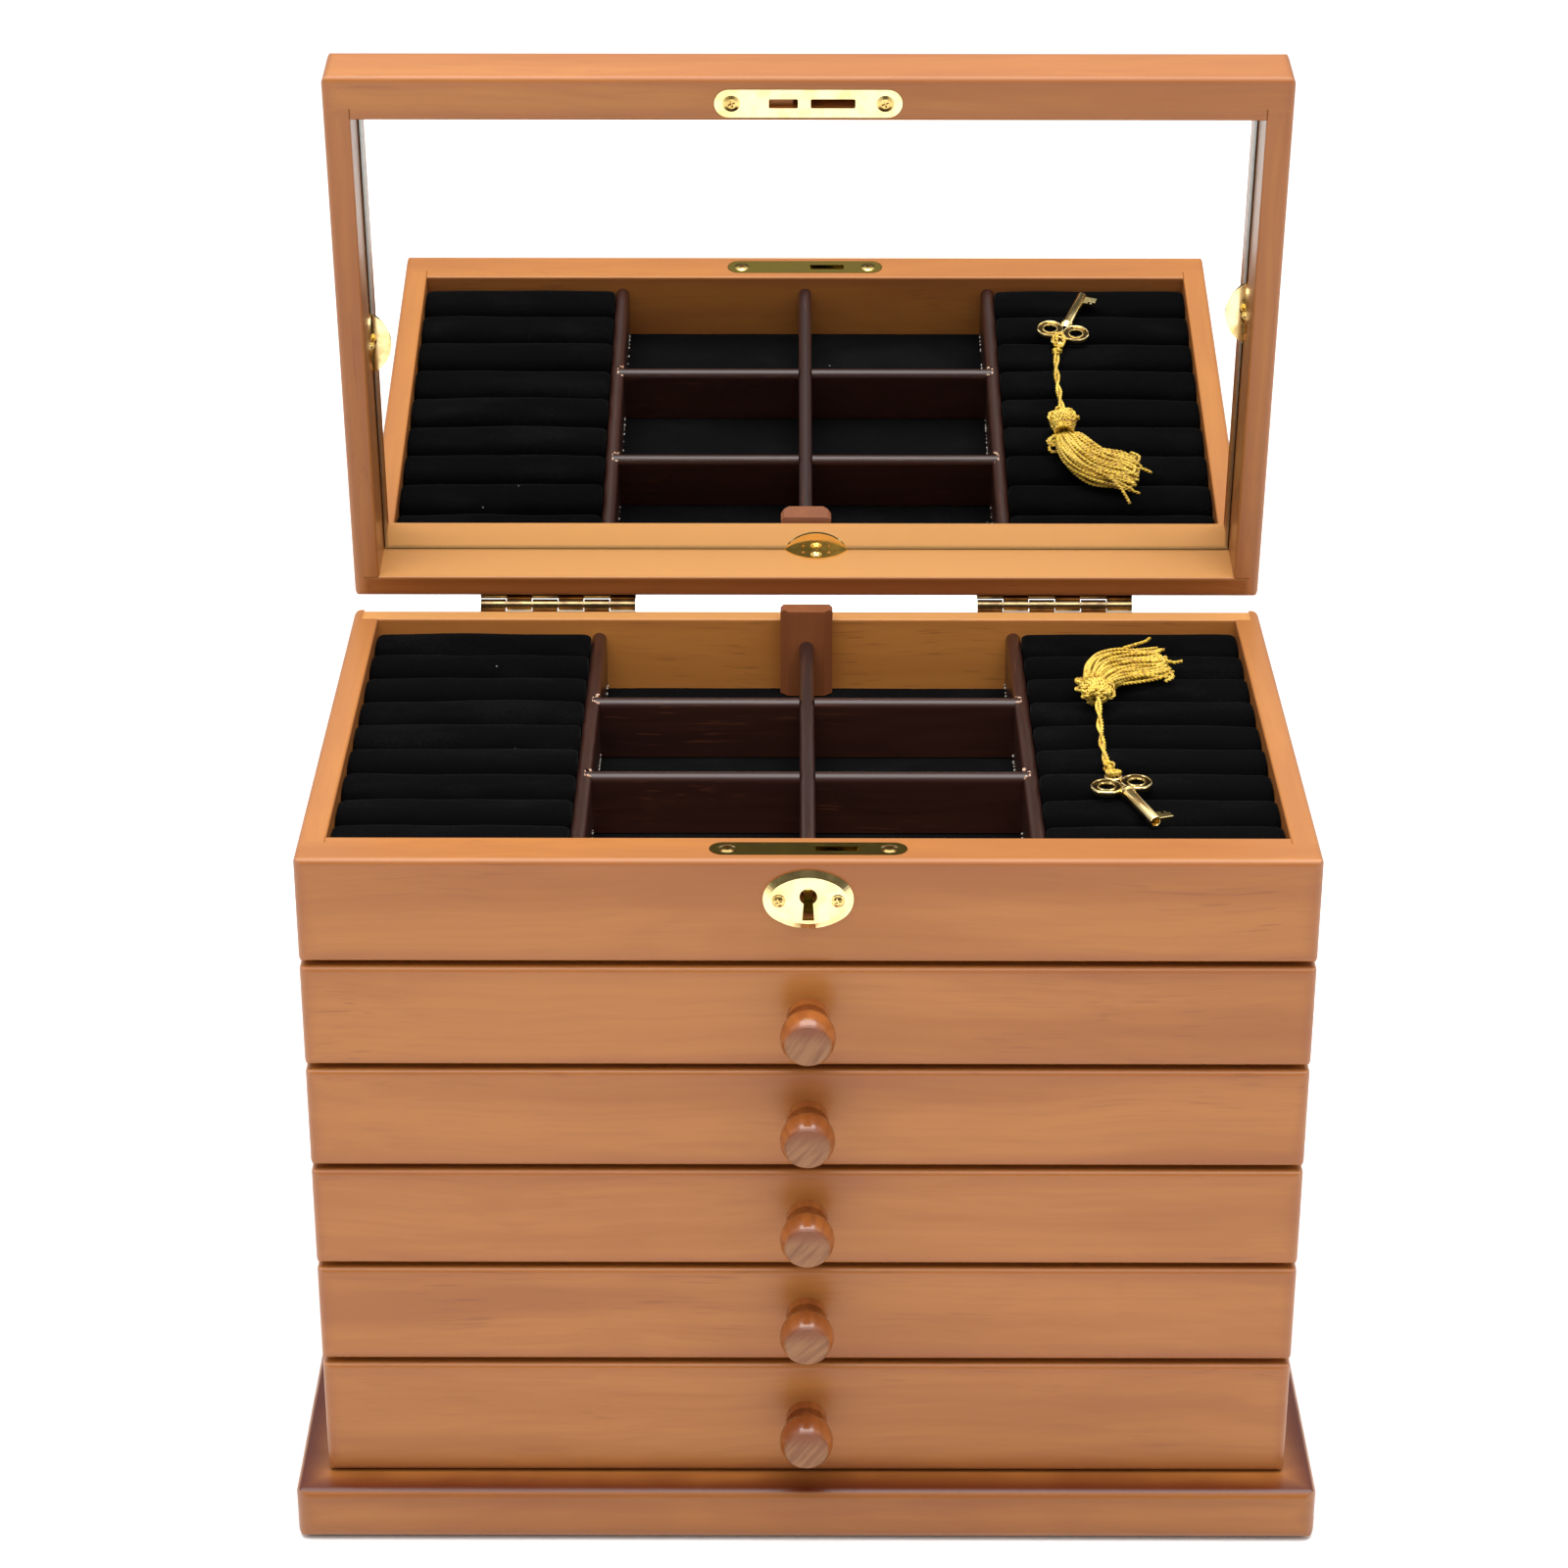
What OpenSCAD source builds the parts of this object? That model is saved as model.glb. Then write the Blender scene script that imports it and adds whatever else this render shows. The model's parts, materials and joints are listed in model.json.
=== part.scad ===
// Jewellery chest: five drawers under a velvet-lined tray, a mirrored lid on two
// outside hinges, a hook lock, and a small key tied to a tassel.
// X runs across the chest, Y from the drawer fronts back to the hinges, Z up.
// The origin is the centre of the underside of the felt. The lid is drawn open.

/* [Body] */
// Width of the chest across the drawer fronts
body_w = 320; // [290:1:400]
// Depth of the chest from the drawer fronts to the back
body_d = 195.5; // [193:0.5:260]
// Thickness of the side panels and of the lid's side rails
side_t = 9; // [8:0.5:12]
// Thickness of the back panel
back_t = 8; // [7:0.5:11]
// Thickness of the wall above the drawers
front_t = 16; // [14:0.5:20]
// How far a side runs into the rear corner of the front wall
front_lap = 4; // [2:0.5:6]
// What a side keeps outside the back panel
back_lip = 3.5; // [2:0.5:5]
// Rounding of the upright corners
corner_r = 3; // [1:0.5:5]
// Rounding of the outer edges of the rim
rim_r = 2; // [0.5:0.25:3]
// Rounding of the inner edges of the rim
inner_r = 0.8; // [0.2:0.1:1.5]

/* [Base] */
// Thickness of the felt under the plinth
felt_t = 1; // [0.5:0.1:2]
// Margin of bare wood round the felt
felt_inset = 4; // [2:1:10]
// Thickness of the plinth board
plinth_t = 19; // [12:1:25]
// How far the plinth stands out at each side
plinth_side = 10; // [5:1:15]
// How far the plinth stands out at the front and the back
plinth_front = 11; // [5:1:15]
// Rounding of the plinth's top and bottom edges
plinth_r = 3; // [1:0.5:5]
// Rounding of the plinth's upright corners
plinth_corner_r = 5; // [2:0.5:8]

/* [Drawers] */
// Height of each front from the first drawer to the fourth
drawer_h = 35.2; // [28:0.2:50]
// Height of the front of the bottom drawer
deep_drawer_h = 42.4; // [34:0.2:60]
// Thickness of a drawer front
drawer_front_t = 10; // [9:0.5:14]
// Gap between one front and the next
drawer_gap = 2; // [1:0.1:4]
// Gap between the bottom front and the plinth
plinth_gap = 0.8; // [0.5:0.1:2]
// Rounding of the edges of a front
front_r = 1.8; // [0.5:0.1:3]
// Gap between a closed front and the side panels behind it
front_clear = 0.3; // [0.2:0.1:1]
// Thickness of a drawer box's sides and back
box_t = 8; // [7:0.5:10]
// Thickness of a drawer box's bottom
box_bottom_t = 3; // [2:0.5:5]
// Gap between a drawer box and the side panel
box_clear = 0.8; // [0.4:0.1:1.5]
// Height of a box's underside above the lower edge of its front
box_lift = 1.2; // [0.5:0.1:3]
// Depth of a box's rim below the upper edge of its front
box_drop = 4; // [2:0.5:8]
// Gap between a closed box and the back panel
box_back_gap = 3.5; // [1:0.5:10]
// Height of a runner strip
runner_h = 6; // [4:0.5:8]
// How far a runner strip reaches into its groove
runner_bite = 3.8; // [2:0.1:4.5]
// Clearance of a runner strip in its groove
groove_clear = 0.2; // [0.1:0.05:0.5]

/* [Knobs] */
// Diameter of the ball
knob_ball_d = 17.7; // [14:0.1:22]
// Diameter of the collar against the drawer
knob_collar_d = 13.6; // [10:0.1:18]
// Thickness of the collar
knob_collar_t = 3.6; // [2:0.1:5]
// Diameter of the neck
knob_neck_d = 9.4; // [7:0.1:12]
// Diameter of the flat at the end of the ball
knob_flat_d = 13.6; // [8:0.1:14]
// How far a knob stands out
knob_len = 18.6; // [16:0.1:24]
// Diameter of the tenon that is glued into the front
knob_tenon_d = 7; // [5:0.5:9]
// Length of the tenon
knob_tenon_len = 7; // [4:0.5:8]

/* [Tray] */
// Height of the wall round the tray
tray_h = 36; // [30:1:50]
// Thickness of the board under the tray
tray_floor_t = 8.2; // [5:0.1:9]
// Thickness of a velvet lining
lining_t = 1; // [0.6:0.1:1.5]
// Width of the bay at each side that holds the ring cushions
ring_bay = 75.5; // [60:0.5:90]
// Pitch that the ring rolls are fitted to
roll_pitch = 18.9; // [14:0.1:24]
// Depth of the crest of a roll below the rim
roll_drop = 3; // [1:0.5:8]
// Thickness of the dividers
divider_t = 5; // [4:0.5:7]
// Depth of the top of a divider below the rim
divider_drop = 5.3; // [3:0.1:10]
// Clear depth of the front row of compartments
front_row = 55.5; // [40:0.5:65]
// Clear depth of the middle row of compartments
middle_row = 53; // [40:0.5:60]
// Width of the block that guides the lid
block_w = 18.3; // [14:0.1:24]
// Depth of the block
block_d = 7.5; // [5:0.5:10]
// Bevel down the two front corners of the block
block_bevel = 2.8; // [1:0.1:4]
// How far the block stands above the rim
block_rise = 6; // [3:0.5:10]
// Clearance between the block and the closed lid
block_clear = 0.6; // [0.3:0.1:1]

/* [Lid] */
// Height of the lid
lid_t = 25; // [24:0.5:35]
// Thickness of the lid's front rail
lid_front_t = 15.2; // [14:0.1:18]
// Thickness of the lid's rear rail
lid_rear_t = 8; // [7:0.5:11]
// How far the lid stands out in front of the wall below it
lid_over = 1; // [0:0.1:3]
// Gap between the closed lid and the rim
lid_gap = 1.2; // [0.8:0.1:2]
// Angle of the drawn lid from closed
lid_open = 83; // [60:1:90]
// Rounding of the upper edges of the lid
lid_r = 6; // [2:0.5:7]
// Depth of the mirror's face from the lid's rim
mirror_recess = 20; // [16:0.5:20]
// Thickness of the mirror
mirror_t = 2; // [1.5:0.5:3]
// Gap between the mirror and the rails
mirror_gap = 0.5; // [0.3:0.1:1]
// Thickness of the card behind the mirror
backing_t = 0.5; // [0.3:0.1:1]

/* [Mirror clips] */
// Length of a clip along its rail
clip_len = 23; // [16:0.5:30]
// Height of each of the two leaves of a clip
clip_leaf = 7; // [5:0.5:9]
// Thickness of the sheet of a clip
clip_t = 0.6; // [0.4:0.1:1]
// Place of the front and rear clips to the right of the middle
clip_x = 3.5; // [-20:0.5:20]
// Distance of the left clip from the lid's rear edge
clip_left = 90; // [60:1:120]
// Distance of the right clip from the lid's rear edge
clip_right = 102; // [60:1:120]

/* [Hinges] */
// Distance of the middle of each hinge from the middle of the chest
hinge_x = 88; // [60:1:105]
// Length of a hinge
hinge_len = 55; // [40:1:70]
// Distance of the hinge pins behind the back panel
hinge_back = 3; // [2.8:0.1:4]
// Diameter of the knuckles
barrel_d = 4.2; // [3.8:0.1:5]
// Diameter of the hinge pin
pin_d = 2; // [1.5:0.1:2.5]
// Number of knuckles in each hinge
knuckles = 6; // [4:2:8]
// Thickness of a leaf
leaf_t = 1.2; // [0.8:0.1:1.5]
// Height of a leaf
leaf_h = 16; // [12:1:20]
// Gap between two knuckles
knuckle_gap = 0.3; // [0.2:0.05:0.6]
// Clearance round the pin in a knuckle
pin_clear = 0.05; // [0.02:0.01:0.08]

/* [Lock] */
// Length of the plate let into the rim
plate_l = 61.5; // [56:0.5:70]
// Width of the plate
plate_w = 8.4; // [8:0.1:10]
// Thickness of the plate
plate_t = 1.8; // [1:0.1:2.5]
// Distance between the two screws of the plate
plate_screws = 50.6; // [48:0.2:54]
// Distance from the outer face of the chest to the middle of the plate
lock_in = 8.2; // [7.5:0.1:8.5]
// Length of the strike plate in the lid
strike_l = 62; // [56:0.5:70]
// Width of the strike plate
strike_w = 9.8; // [8:0.1:11]
// Thickness of the strike plate
strike_t = 1.4; // [1:0.1:2]
// Clearance round a let-in plate
plate_clear = 0.2; // [0.1:0.05:0.4]
// Width of the slots that the hook passes through
slot_w = 3.2; // [3:0.1:4]
// Outer radius of the hook
hook_r = 14; // [12:0.5:15]
// Width of the hook's curved arm
hook_arm = 4; // [3:0.5:5]
// Thickness of the hook
hook_t = 2.2; // [1.6:0.1:2.4]
// Depth of the hook's pivot below the rim
hook_drop = 6; // [5:0.5:7]
// Place of the hook's pivot to the right of the middle
hook_x = 1.5; // [0:0.5:3]
// Height of the lock case
case_h = 23; // [20:0.5:28]
// Thickness of the lock case
case_t = 8; // [7:0.5:10]
// Width of the lock case
case_w = 42; // [38:1:44]
// Depth of the middle of the keyhole's round end below the rim
keyhole_drop = 11.9; // [11:0.1:13]
// Diameter of the keyhole's round end
keyhole_d = 5.6; // [4.8:0.1:6.5]
// Length of the keyhole below the middle of its round end
keyhole_len = 8.3; // [6:0.1:9]
// Length of the oval keyhole plate
oval_l = 28.3; // [26:0.1:32]
// Height of the oval keyhole plate
oval_h = 20.5; // [19:0.1:22]
// Thickness of the oval keyhole plate
oval_t = 1.6; // [1:0.1:2]
// Distance between the screws of the oval plate
oval_screws = 18.5; // [17:0.1:20]
// Width of the bevel round the oval plate
oval_bevel = 2.2; // [1:0.1:3]

/* [Screws] */
// Diameter of the heads in the lock and strike plates
plate_head_d = 5.6; // [4:0.1:6]
// Diameter of the heads in the hinge leaves
leaf_head_d = 4.4; // [3.6:0.1:5]
// Height of a countersunk head
flat_head_h = 1.1; // [0.8:0.1:1.3]
// How far a screw head swells above its plate
head_swell = 0.4; // [0.2:0.05:0.45]
// Diameter of a domed head
dome_head_d = 4.2; // [3.6:0.1:4.6]
// Height of a domed head
dome_head_h = 1.2; // [0.8:0.1:1.6]
// Diameter of a screw's shank
shank_d = 1.8; // [1.2:0.1:2]
// Length of a screw
screw_len = 4.8; // [3:0.1:5]
// Clearance round a screw
screw_clear = 0.05; // [0.02:0.01:0.1]

/* [Key and tassel] */
// Outer diameter of the key's hollow shaft
key_shaft_d = 4; // [3.5:0.1:4.5]
// Bore of the key's hollow shaft
key_bore_d = 2.5; // [2:0.1:3]
// Length of the key from the middle of its bow to its tip
key_len = 27.5; // [26:0.5:36]
// Diameter over the rim of each eye of the bow
key_eye_d = 10.6; // [8:0.1:12]
// Distance between the two eyes of the bow
key_eye_pitch = 10.4; // [8:0.1:12]
// Thickness of the bow
key_bow_t = 2.4; // [1.8:0.1:3]
// Angle of the key on the cushion, turned from straight ahead
key_turn = 19; // [0:0.5:30]
// Diameter of the twisted cord
cord_d = 2.6; // [2:0.1:3]
// Diameter of the tassel's head
tassel_head_d = 10; // [8:0.5:11]
// Height of the tassel's skirt
skirt_h = 7; // [5:0.5:8]

/* [Hidden] */

$fn = 48;

// Overlap of a cutting shape past the face that it cuts
past = 1;
// Gap that a velvet piece keeps from the wood round it
soft_gap = 0.3;
// Corners of an outline that stays square
square_corners = [0, 0, 0, 0];

wood = "#b8763c";
dark_wood = "#5a3426";
velvet = "#101012";
brass = "#c79a3f";
old_brass = "#8a6a3a";
silk = "#d9b13c";

// Faces of the chest
half_w = body_w / 2;
half_d = body_d / 2;
in_x = half_w - side_t;
front_y = -half_d;
back_y = half_d - back_t;
plinth_z = felt_t + plinth_t;

// Drawer fronts, counted from 1 at the top to 5 above the plinth
drawer_count = 5;
pitch_z = drawer_h + drawer_gap;
deep_z = plinth_z + plinth_gap;
stack_z = deep_z + deep_drawer_h + drawer_gap;
function front_z(n) = n == drawer_count ? deep_z : stack_z + (drawer_count - 1 - n) * pitch_z;
function front_h(n) = n == drawer_count ? deep_drawer_h : drawer_h;
front_rear_y = front_y + drawer_front_t;
panel_y = front_rear_y + front_clear;

// Tray
tray_z = stack_z + (drawer_count - 1) * pitch_z;
rim_z = tray_z + tray_h;
tray_y = front_y + front_t;
lap_y = tray_y - front_lap;
tray_depth = back_y - tray_y;
lining_z = tray_z + tray_floor_t + soft_gap;
velvet_z = lining_z + lining_t;
stand_z = velvet_z + soft_gap;
divider_z = rim_z - divider_drop;
divider_x = in_x - ring_bay - divider_t / 2;
cross_y = [tray_y + front_row + divider_t / 2, tray_y + front_row + middle_row + divider_t * 1.5];
roll_count = round(tray_depth / roll_pitch);
roll_step = tray_depth / roll_count;
roll_z = rim_z - roll_drop;
// Depth of the notches that the cross dividers sit in
notch = divider_t / 2;
// Clearance of a divider in its notch
notch_clear = 0.1;

// Drawer boxes
box_w = 2 * (in_x - box_clear);
box_y1 = back_y - box_back_gap;
function box_z(n) = front_z(n) + box_lift;
function box_h(n) = front_h(n) - box_lift - box_drop;
function groove_z(n) = box_z(n) + box_h(n) / 2;
runner_y = panel_y + 2.2;
runner_reach = runner_bite + box_clear;
groove_depth = runner_bite + groove_clear;

// Lid, in its closed place
lid_z = rim_z + lid_gap;
lid_top = lid_z + lid_t;
lid_y = front_y - lid_over;
lid_in_y = lid_y + lid_front_t;
lid_back_y = half_d - lid_rear_t;
mirror_z = lid_z + mirror_recess;
backing_z = mirror_z + mirror_t;
panel_z = backing_z + backing_t;
hinge_y = half_d + hinge_back;
hinge_z = rim_z + lid_gap / 2;

// Hinges
knuckle_len = hinge_len / knuckles;
barrel_clear = 0.3;
leaf_edge = sqrt(pow(barrel_d / 2 + barrel_clear, 2) - pow(hinge_back - leaf_t, 2));
leaf_screw_x = [-19, 0, 19];
leaf_screw_z = 10.5;

// Lock
lock_y = front_y + lock_in;
hook_z = rim_z - hook_drop;
case_z = rim_z - plate_t;
keyhole_z = rim_z - keyhole_drop;
oval_z = keyhole_z - 1.4;
oval_end_r = 8.5;
hook_rest = [-63, 17];
hook_clear = 0.5;
hook_hub_r = 3;
hook_pin_d = 2;
case_wall = 0.8;
plate_slot = [2.1, 15.6];
strike_slots = [[-13, -3.4], [0.8, 15.5]];
slot_corner_r = 0.5;

// The key's ring, where the cord is tied, and the route of the cord to the tassel
key_z = roll_z + soft_gap + key_shaft_d / 2;
key_at = [101, -43.3, key_z];
key_ring_at = 6.6;
cord_route = [
    [98.8, -36.4, 249.4], [98.5, -33.2, 249.3], [98.0, -29.8, 249.3], [97.6, -26.2, 249.3],
    [97.3, -22.5, 249.4], [97.1, -18.8, 249.5], [97.0, -15.0, 249.7], [97.0, -11.2, 249.9],
    [97.0, -7.4, 250.2], [97.0, -3.6, 250.5], [97.1, 0.2, 250.9], [97.2, 4.0, 251.3],
    [97.3, 7.8, 251.7], [97.4, 11.5, 252.1], [97.5, 15.1, 252.4], [97.5, 18.7, 252.7]
];
tassel_at = [97.5, 23.4, 252.7];
skirt_ends = [[118.5, 68], [126.5, 57], [122.5, 40.5]];
skirt_neck = [98.5, 30.3];
skirt_bend = [99.5, 46];
neck_r = 3.6;
bend_r = 4.5;
ends_r = 3;

// A rectangle with its own rounding at each corner, counted from the low corner round
module rounded_rect(size, r) {
    difference() {
        square(size);
        corner_bite(r[0]);
        translate([size[0], 0]) mirror([1, 0]) corner_bite(r[1]);
        translate(size) rotate(180) corner_bite(r[2]);
        translate([0, size[1]]) mirror([0, 1]) corner_bite(r[3]);
    }
}

module corner_bite(r) {
    if (r > 0)
        difference() {
            translate([-past, -past]) square(r + past);
            translate([r, r]) circle(r);
        }
}

// A block from one corner to the other: plan is seen from above, side along X, face along Y
module rounded_block(low, high, plan = square_corners, side = square_corners, face = square_corners) {
    size = high - low;
    translate(low)
        intersection() {
            linear_extrude(size.z) rounded_rect([size.x, size.y], plan);
            rotate([90, 0, 90]) linear_extrude(size.x) rounded_rect([size.y, size.z], side);
            translate([0, size.y, 0]) rotate([90, 0, 0]) linear_extrude(size.y)
                rounded_rect([size.x, size.z], face);
        }
}

module box_from(low, high) {
    translate(low) cube(high - low);
}

module both_sides() {
    for (side = [0, 1])
        mirror([side, 0, 0]) children();
}

// A flat bar with round ends
module stadium(l, w) {
    square([l - w, w], center = true);
    for (x = [-1, 1])
        translate([x * (l - w) / 2, 0]) circle(w / 2);
}

// An oval of four arcs: a and b are its half length and half height, r the radius of its ends
module oval(a, b, r) {
    big = ((a - r) * (a - r) + b * b - r * r) / (2 * (b - r));
    touch = (a - r) * big / (big - r);
    intersection() {
        translate([0, b - big]) circle(big);
        translate([0, big - b]) circle(big);
        square([2 * touch, 2 * b], center = true);
    }
    for (x = [-1, 1])
        translate([x * (a - r), 0]) circle(r);
}

// A countersunk screw that points down from the face at z = 0; grow makes its hole
module flat_screw(head_d, grow = 0) {
    r = head_d / 2 + grow;
    crown = grow > 0 ? [[r, past], [0, past]] : [[0.6 * r, 0.8 * head_swell], [0, head_swell]];
    difference() {
        rotate_extrude()
            polygon(concat([[0, -screw_len - grow], [shank_d / 2 + grow, -screw_len - grow],
                [shank_d / 2 + grow, -flat_head_h - grow], [r, -grow]], crown));
        if (grow == 0)
            cross_recess();
    }
}

// A domed screw that sits on the face at z = 0
module dome_screw(grow = 0) {
    translate([0, 0, -screw_len - grow])
        cylinder(h = screw_len + grow + dome_head_h / 2, d = shank_d + 2 * grow);
    if (grow == 0)
        difference() {
            intersection() {
                cylinder(h = dome_head_h, d = dome_head_d);
                translate([0, 0, dome_head_h - dome_head_d * 0.7]) sphere(dome_head_d * 0.7);
            }
            translate([0, 0, dome_head_h]) cross_recess();
        }
}

module cross_recess() {
    for (turn = [20, 110])
        rotate(turn) cube([2.4, 0.5, 1], center = true);
}

// ---- Base -------------------------------------------------------------------

module base_felt() {
    x = half_w + plinth_side - felt_inset;
    y = half_d + plinth_front - felt_inset;
    color("#3a2f28") rounded_block([-x, -y, 0], [x, y, felt_t], plan = [4, 4, 4, 4]);
}

module base_plinth() {
    x = half_w + plinth_side;
    y = half_d + plinth_front;
    r = [plinth_r, plinth_r, plinth_r, plinth_r];
    c = [plinth_corner_r, plinth_corner_r, plinth_corner_r, plinth_corner_r];
    color(wood) rounded_block([-x, -y, felt_t], [x, y, plinth_z], plan = c, side = r, face = r);
}

// ---- Carcass ----------------------------------------------------------------

module right_side_panel() {
    difference() {
        rounded_block([in_x, panel_y, plinth_z], [half_w, half_d, rim_z],
            plan = [0, 0, corner_r, 0], face = [0, 0, rim_r, inner_r]);
        box_from([in_x - past, panel_y - past, tray_z], [half_w + past, lap_y, rim_z + past]);
        rear_rebate(back_y, plinth_z, rim_z);
    }
}

// Room at the rear of the right side for the end of the rear board, from its inner face back
module rear_rebate(inner_y, z0, z1) {
    box_from([in_x - past, inner_y, z0 - past], [half_w - back_lip, half_d + past, z1 + past]);
}

module side_panel_left() {
    color(wood) mirror([1, 0, 0]) right_side_panel();
}

module side_panel_right() {
    color(wood) right_side_panel();
}

module back_panel() {
    x = half_w - back_lip;
    color(wood)
        difference() {
            rounded_block([-x, back_y, plinth_z], [x, half_d, rim_z], side = [0, 0, rim_r, inner_r]);
            at_leaf_screws(-1) flat_screw(leaf_head_d, screw_clear);
        }
}

module tray_front_wall() {
    ends = half_w + past;
    color(wood)
        difference() {
            rounded_block([-half_w, front_y, tray_z], [half_w, tray_y, rim_z],
                plan = [corner_r, corner_r, 0, 0], side = [front_r, 0, inner_r, rim_r],
                face = [front_r, front_r, rim_r, rim_r]);
            both_sides()
                box_from([in_x, lap_y, tray_z - past], [ends, tray_y + past, rim_z + past]);
            translate([0, lock_y, case_z])
                linear_extrude(plate_t + past) stadium(plate_l + 2 * plate_clear, plate_w + 2 * plate_clear);
            box_from([-case_w / 2 - plate_clear, lock_y - case_t / 2 - plate_clear, case_z - case_h - plate_clear],
                [case_w / 2 + plate_clear, lock_y + case_t / 2 + plate_clear, case_z + past]);
            keyhole(front_y - past, lock_y);
            at_plate_screws() flat_screw(plate_head_d, screw_clear);
            at_oval_screws() dome_screw(screw_clear);
        }
}

module tray_floor() {
    color(wood) box_from([-in_x, tray_y, tray_z], [in_x, back_y, tray_z + tray_floor_t]);
}

module tray_lining() {
    color(velvet)
        box_from([-in_x + soft_gap, tray_y + soft_gap, lining_z], [in_x - soft_gap, back_y - soft_gap, velvet_z]);
}

module drawer_runners() {
    color(wood)
        both_sides()
            for (n = [1 : drawer_count])
                box_from([in_x - runner_reach, runner_y, groove_z(n) - runner_h / 2],
                    [in_x, back_y, groove_z(n) + runner_h / 2]);
}

// ---- Tray fittings ----------------------------------------------------------

// A block at the back of the tray that guides the closing lid
module lid_block() {
    w = block_w / 2;
    y = back_y - block_d;
    top = rim_z + block_rise;
    rear_y = min(back_y, lid_back_y - block_clear);
    color(wood)
        difference() {
            translate([0, 0, stand_z])
                linear_extrude(top - stand_z)
                    polygon([[-w + block_bevel, y], [w - block_bevel, y], [w, y + block_bevel], [w, back_y],
                        [-w, back_y], [-w, y + block_bevel]]);
            box_from([-w - past, rear_y, rim_z], [w + past, back_y + past, top + past]);
            both_sides()
                translate([w, back_y, top]) rotate([90, 45, 0]) translate([-0.8, -0.8, -past])
                    cube([1.6, 1.6, block_d + 2 * past]);
        }
}

// Padded rolls side by side; the rings are pushed in between them
module ring_rolls() {
    x0 = in_x - ring_bay + soft_gap;
    x1 = in_x - soft_gap;
    r = roll_step / 2 - soft_gap;
    for (k = [0 : roll_count - 1])
        translate([x0, tray_y + (k + 0.5) * roll_step, stand_z])
            rotate([90, 0, 90])
                linear_extrude(x1 - x0) {
                    translate([-r, 0]) square([2 * r, roll_z - stand_z - r]);
                    translate([0, roll_z - stand_z - r]) circle(r);
                }
}

module ring_rolls_left() {
    color(velvet) mirror([1, 0, 0]) ring_rolls();
}

module ring_rolls_right() {
    color(velvet) ring_rolls();
}

// A divider along Y with a round top, standing on the velvet
module long_divider(y0, y1) {
    r = divider_t / 2;
    translate([0, y1, stand_z])
        rotate([90, 0, 0])
            linear_extrude(y1 - y0) {
                translate([-r, 0]) square([divider_t, divider_z - stand_z - r]);
                translate([0, divider_z - stand_z - r]) circle(r);
            }
}

// The right divider, notched on its inner face for the two cross dividers
module right_divider() {
    difference() {
        translate([divider_x, 0, 0]) long_divider(tray_y, back_y);
        for (y = cross_y)
            box_from([divider_x - divider_t, y - divider_t / 2 - notch_clear, stand_z - past],
                [divider_x - divider_t / 2 + notch, y + divider_t / 2 + notch_clear, rim_z]);
    }
}

module divider_left() {
    color(dark_wood) mirror([1, 0, 0]) right_divider();
}

module divider_right() {
    color(dark_wood) right_divider();
}

// Height at which the centre divider sits down on the cross dividers
half_lap_z = stand_z + (divider_z - stand_z) / 2;

module divider_centre() {
    color(dark_wood)
        difference() {
            long_divider(tray_y, back_y - block_d);
            for (y = cross_y)
                box_from([-divider_t, y - divider_t / 2 - notch_clear, stand_z - past],
                    [divider_t, y + divider_t / 2 + notch_clear, half_lap_z + notch_clear]);
        }
}

module cross_dividers() {
    r = divider_t / 2;
    reach = divider_x - divider_t / 2 + notch - notch_clear;
    color(dark_wood)
        for (y = cross_y)
            difference() {
                translate([-reach, y, stand_z])
                    rotate([90, 0, 90])
                        linear_extrude(2 * reach) {
                            translate([-r, 0]) square([divider_t, divider_z - stand_z - r]);
                            translate([0, divider_z - stand_z - r]) circle(r);
                        }
                box_from([-r - notch_clear, y - divider_t, half_lap_z], [r + notch_clear, y + divider_t, rim_z]);
            }
}

// ---- Lock -------------------------------------------------------------------

module at_plate_screws() {
    for (x = [-1, 1])
        translate([x * plate_screws / 2, lock_y, rim_z]) children();
}

// Screws of the oval plate; they point back into the wall
module at_oval_screws() {
    for (x = [-1, 1])
        translate([x * oval_screws / 2, front_y - oval_t, oval_z]) rotate([90, 0, 0]) children();
}

// The keyhole, cut from y0 back to y1
module keyhole(y0, y1) {
    top = 1.3;
    foot = 1.9;
    translate([0, y1, keyhole_z])
        rotate([90, 0, 0])
            linear_extrude(y1 - y0) {
                circle(d = keyhole_d);
                polygon([[-top, 0], [-foot, -keyhole_len], [foot, -keyhole_len], [top, 0]]);
            }
}

// A slot through a plate of that thickness, from span[0] to span[1] across the chest
module slot(span, depth) {
    r = slot_corner_r;
    translate([span[0], lock_y - slot_w / 2, -past])
        linear_extrude(depth + 2 * past) rounded_rect([span[1] - span[0], slot_w], [r, r, r, r]);
}

module lock_plate() {
    color(brass)
        difference() {
            translate([0, lock_y, case_z]) linear_extrude(plate_t) stadium(plate_l, plate_w);
            translate([0, 0, case_z]) slot(plate_slot, plate_t);
            at_plate_screws() flat_screw(plate_head_d, screw_clear);
        }
}

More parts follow.
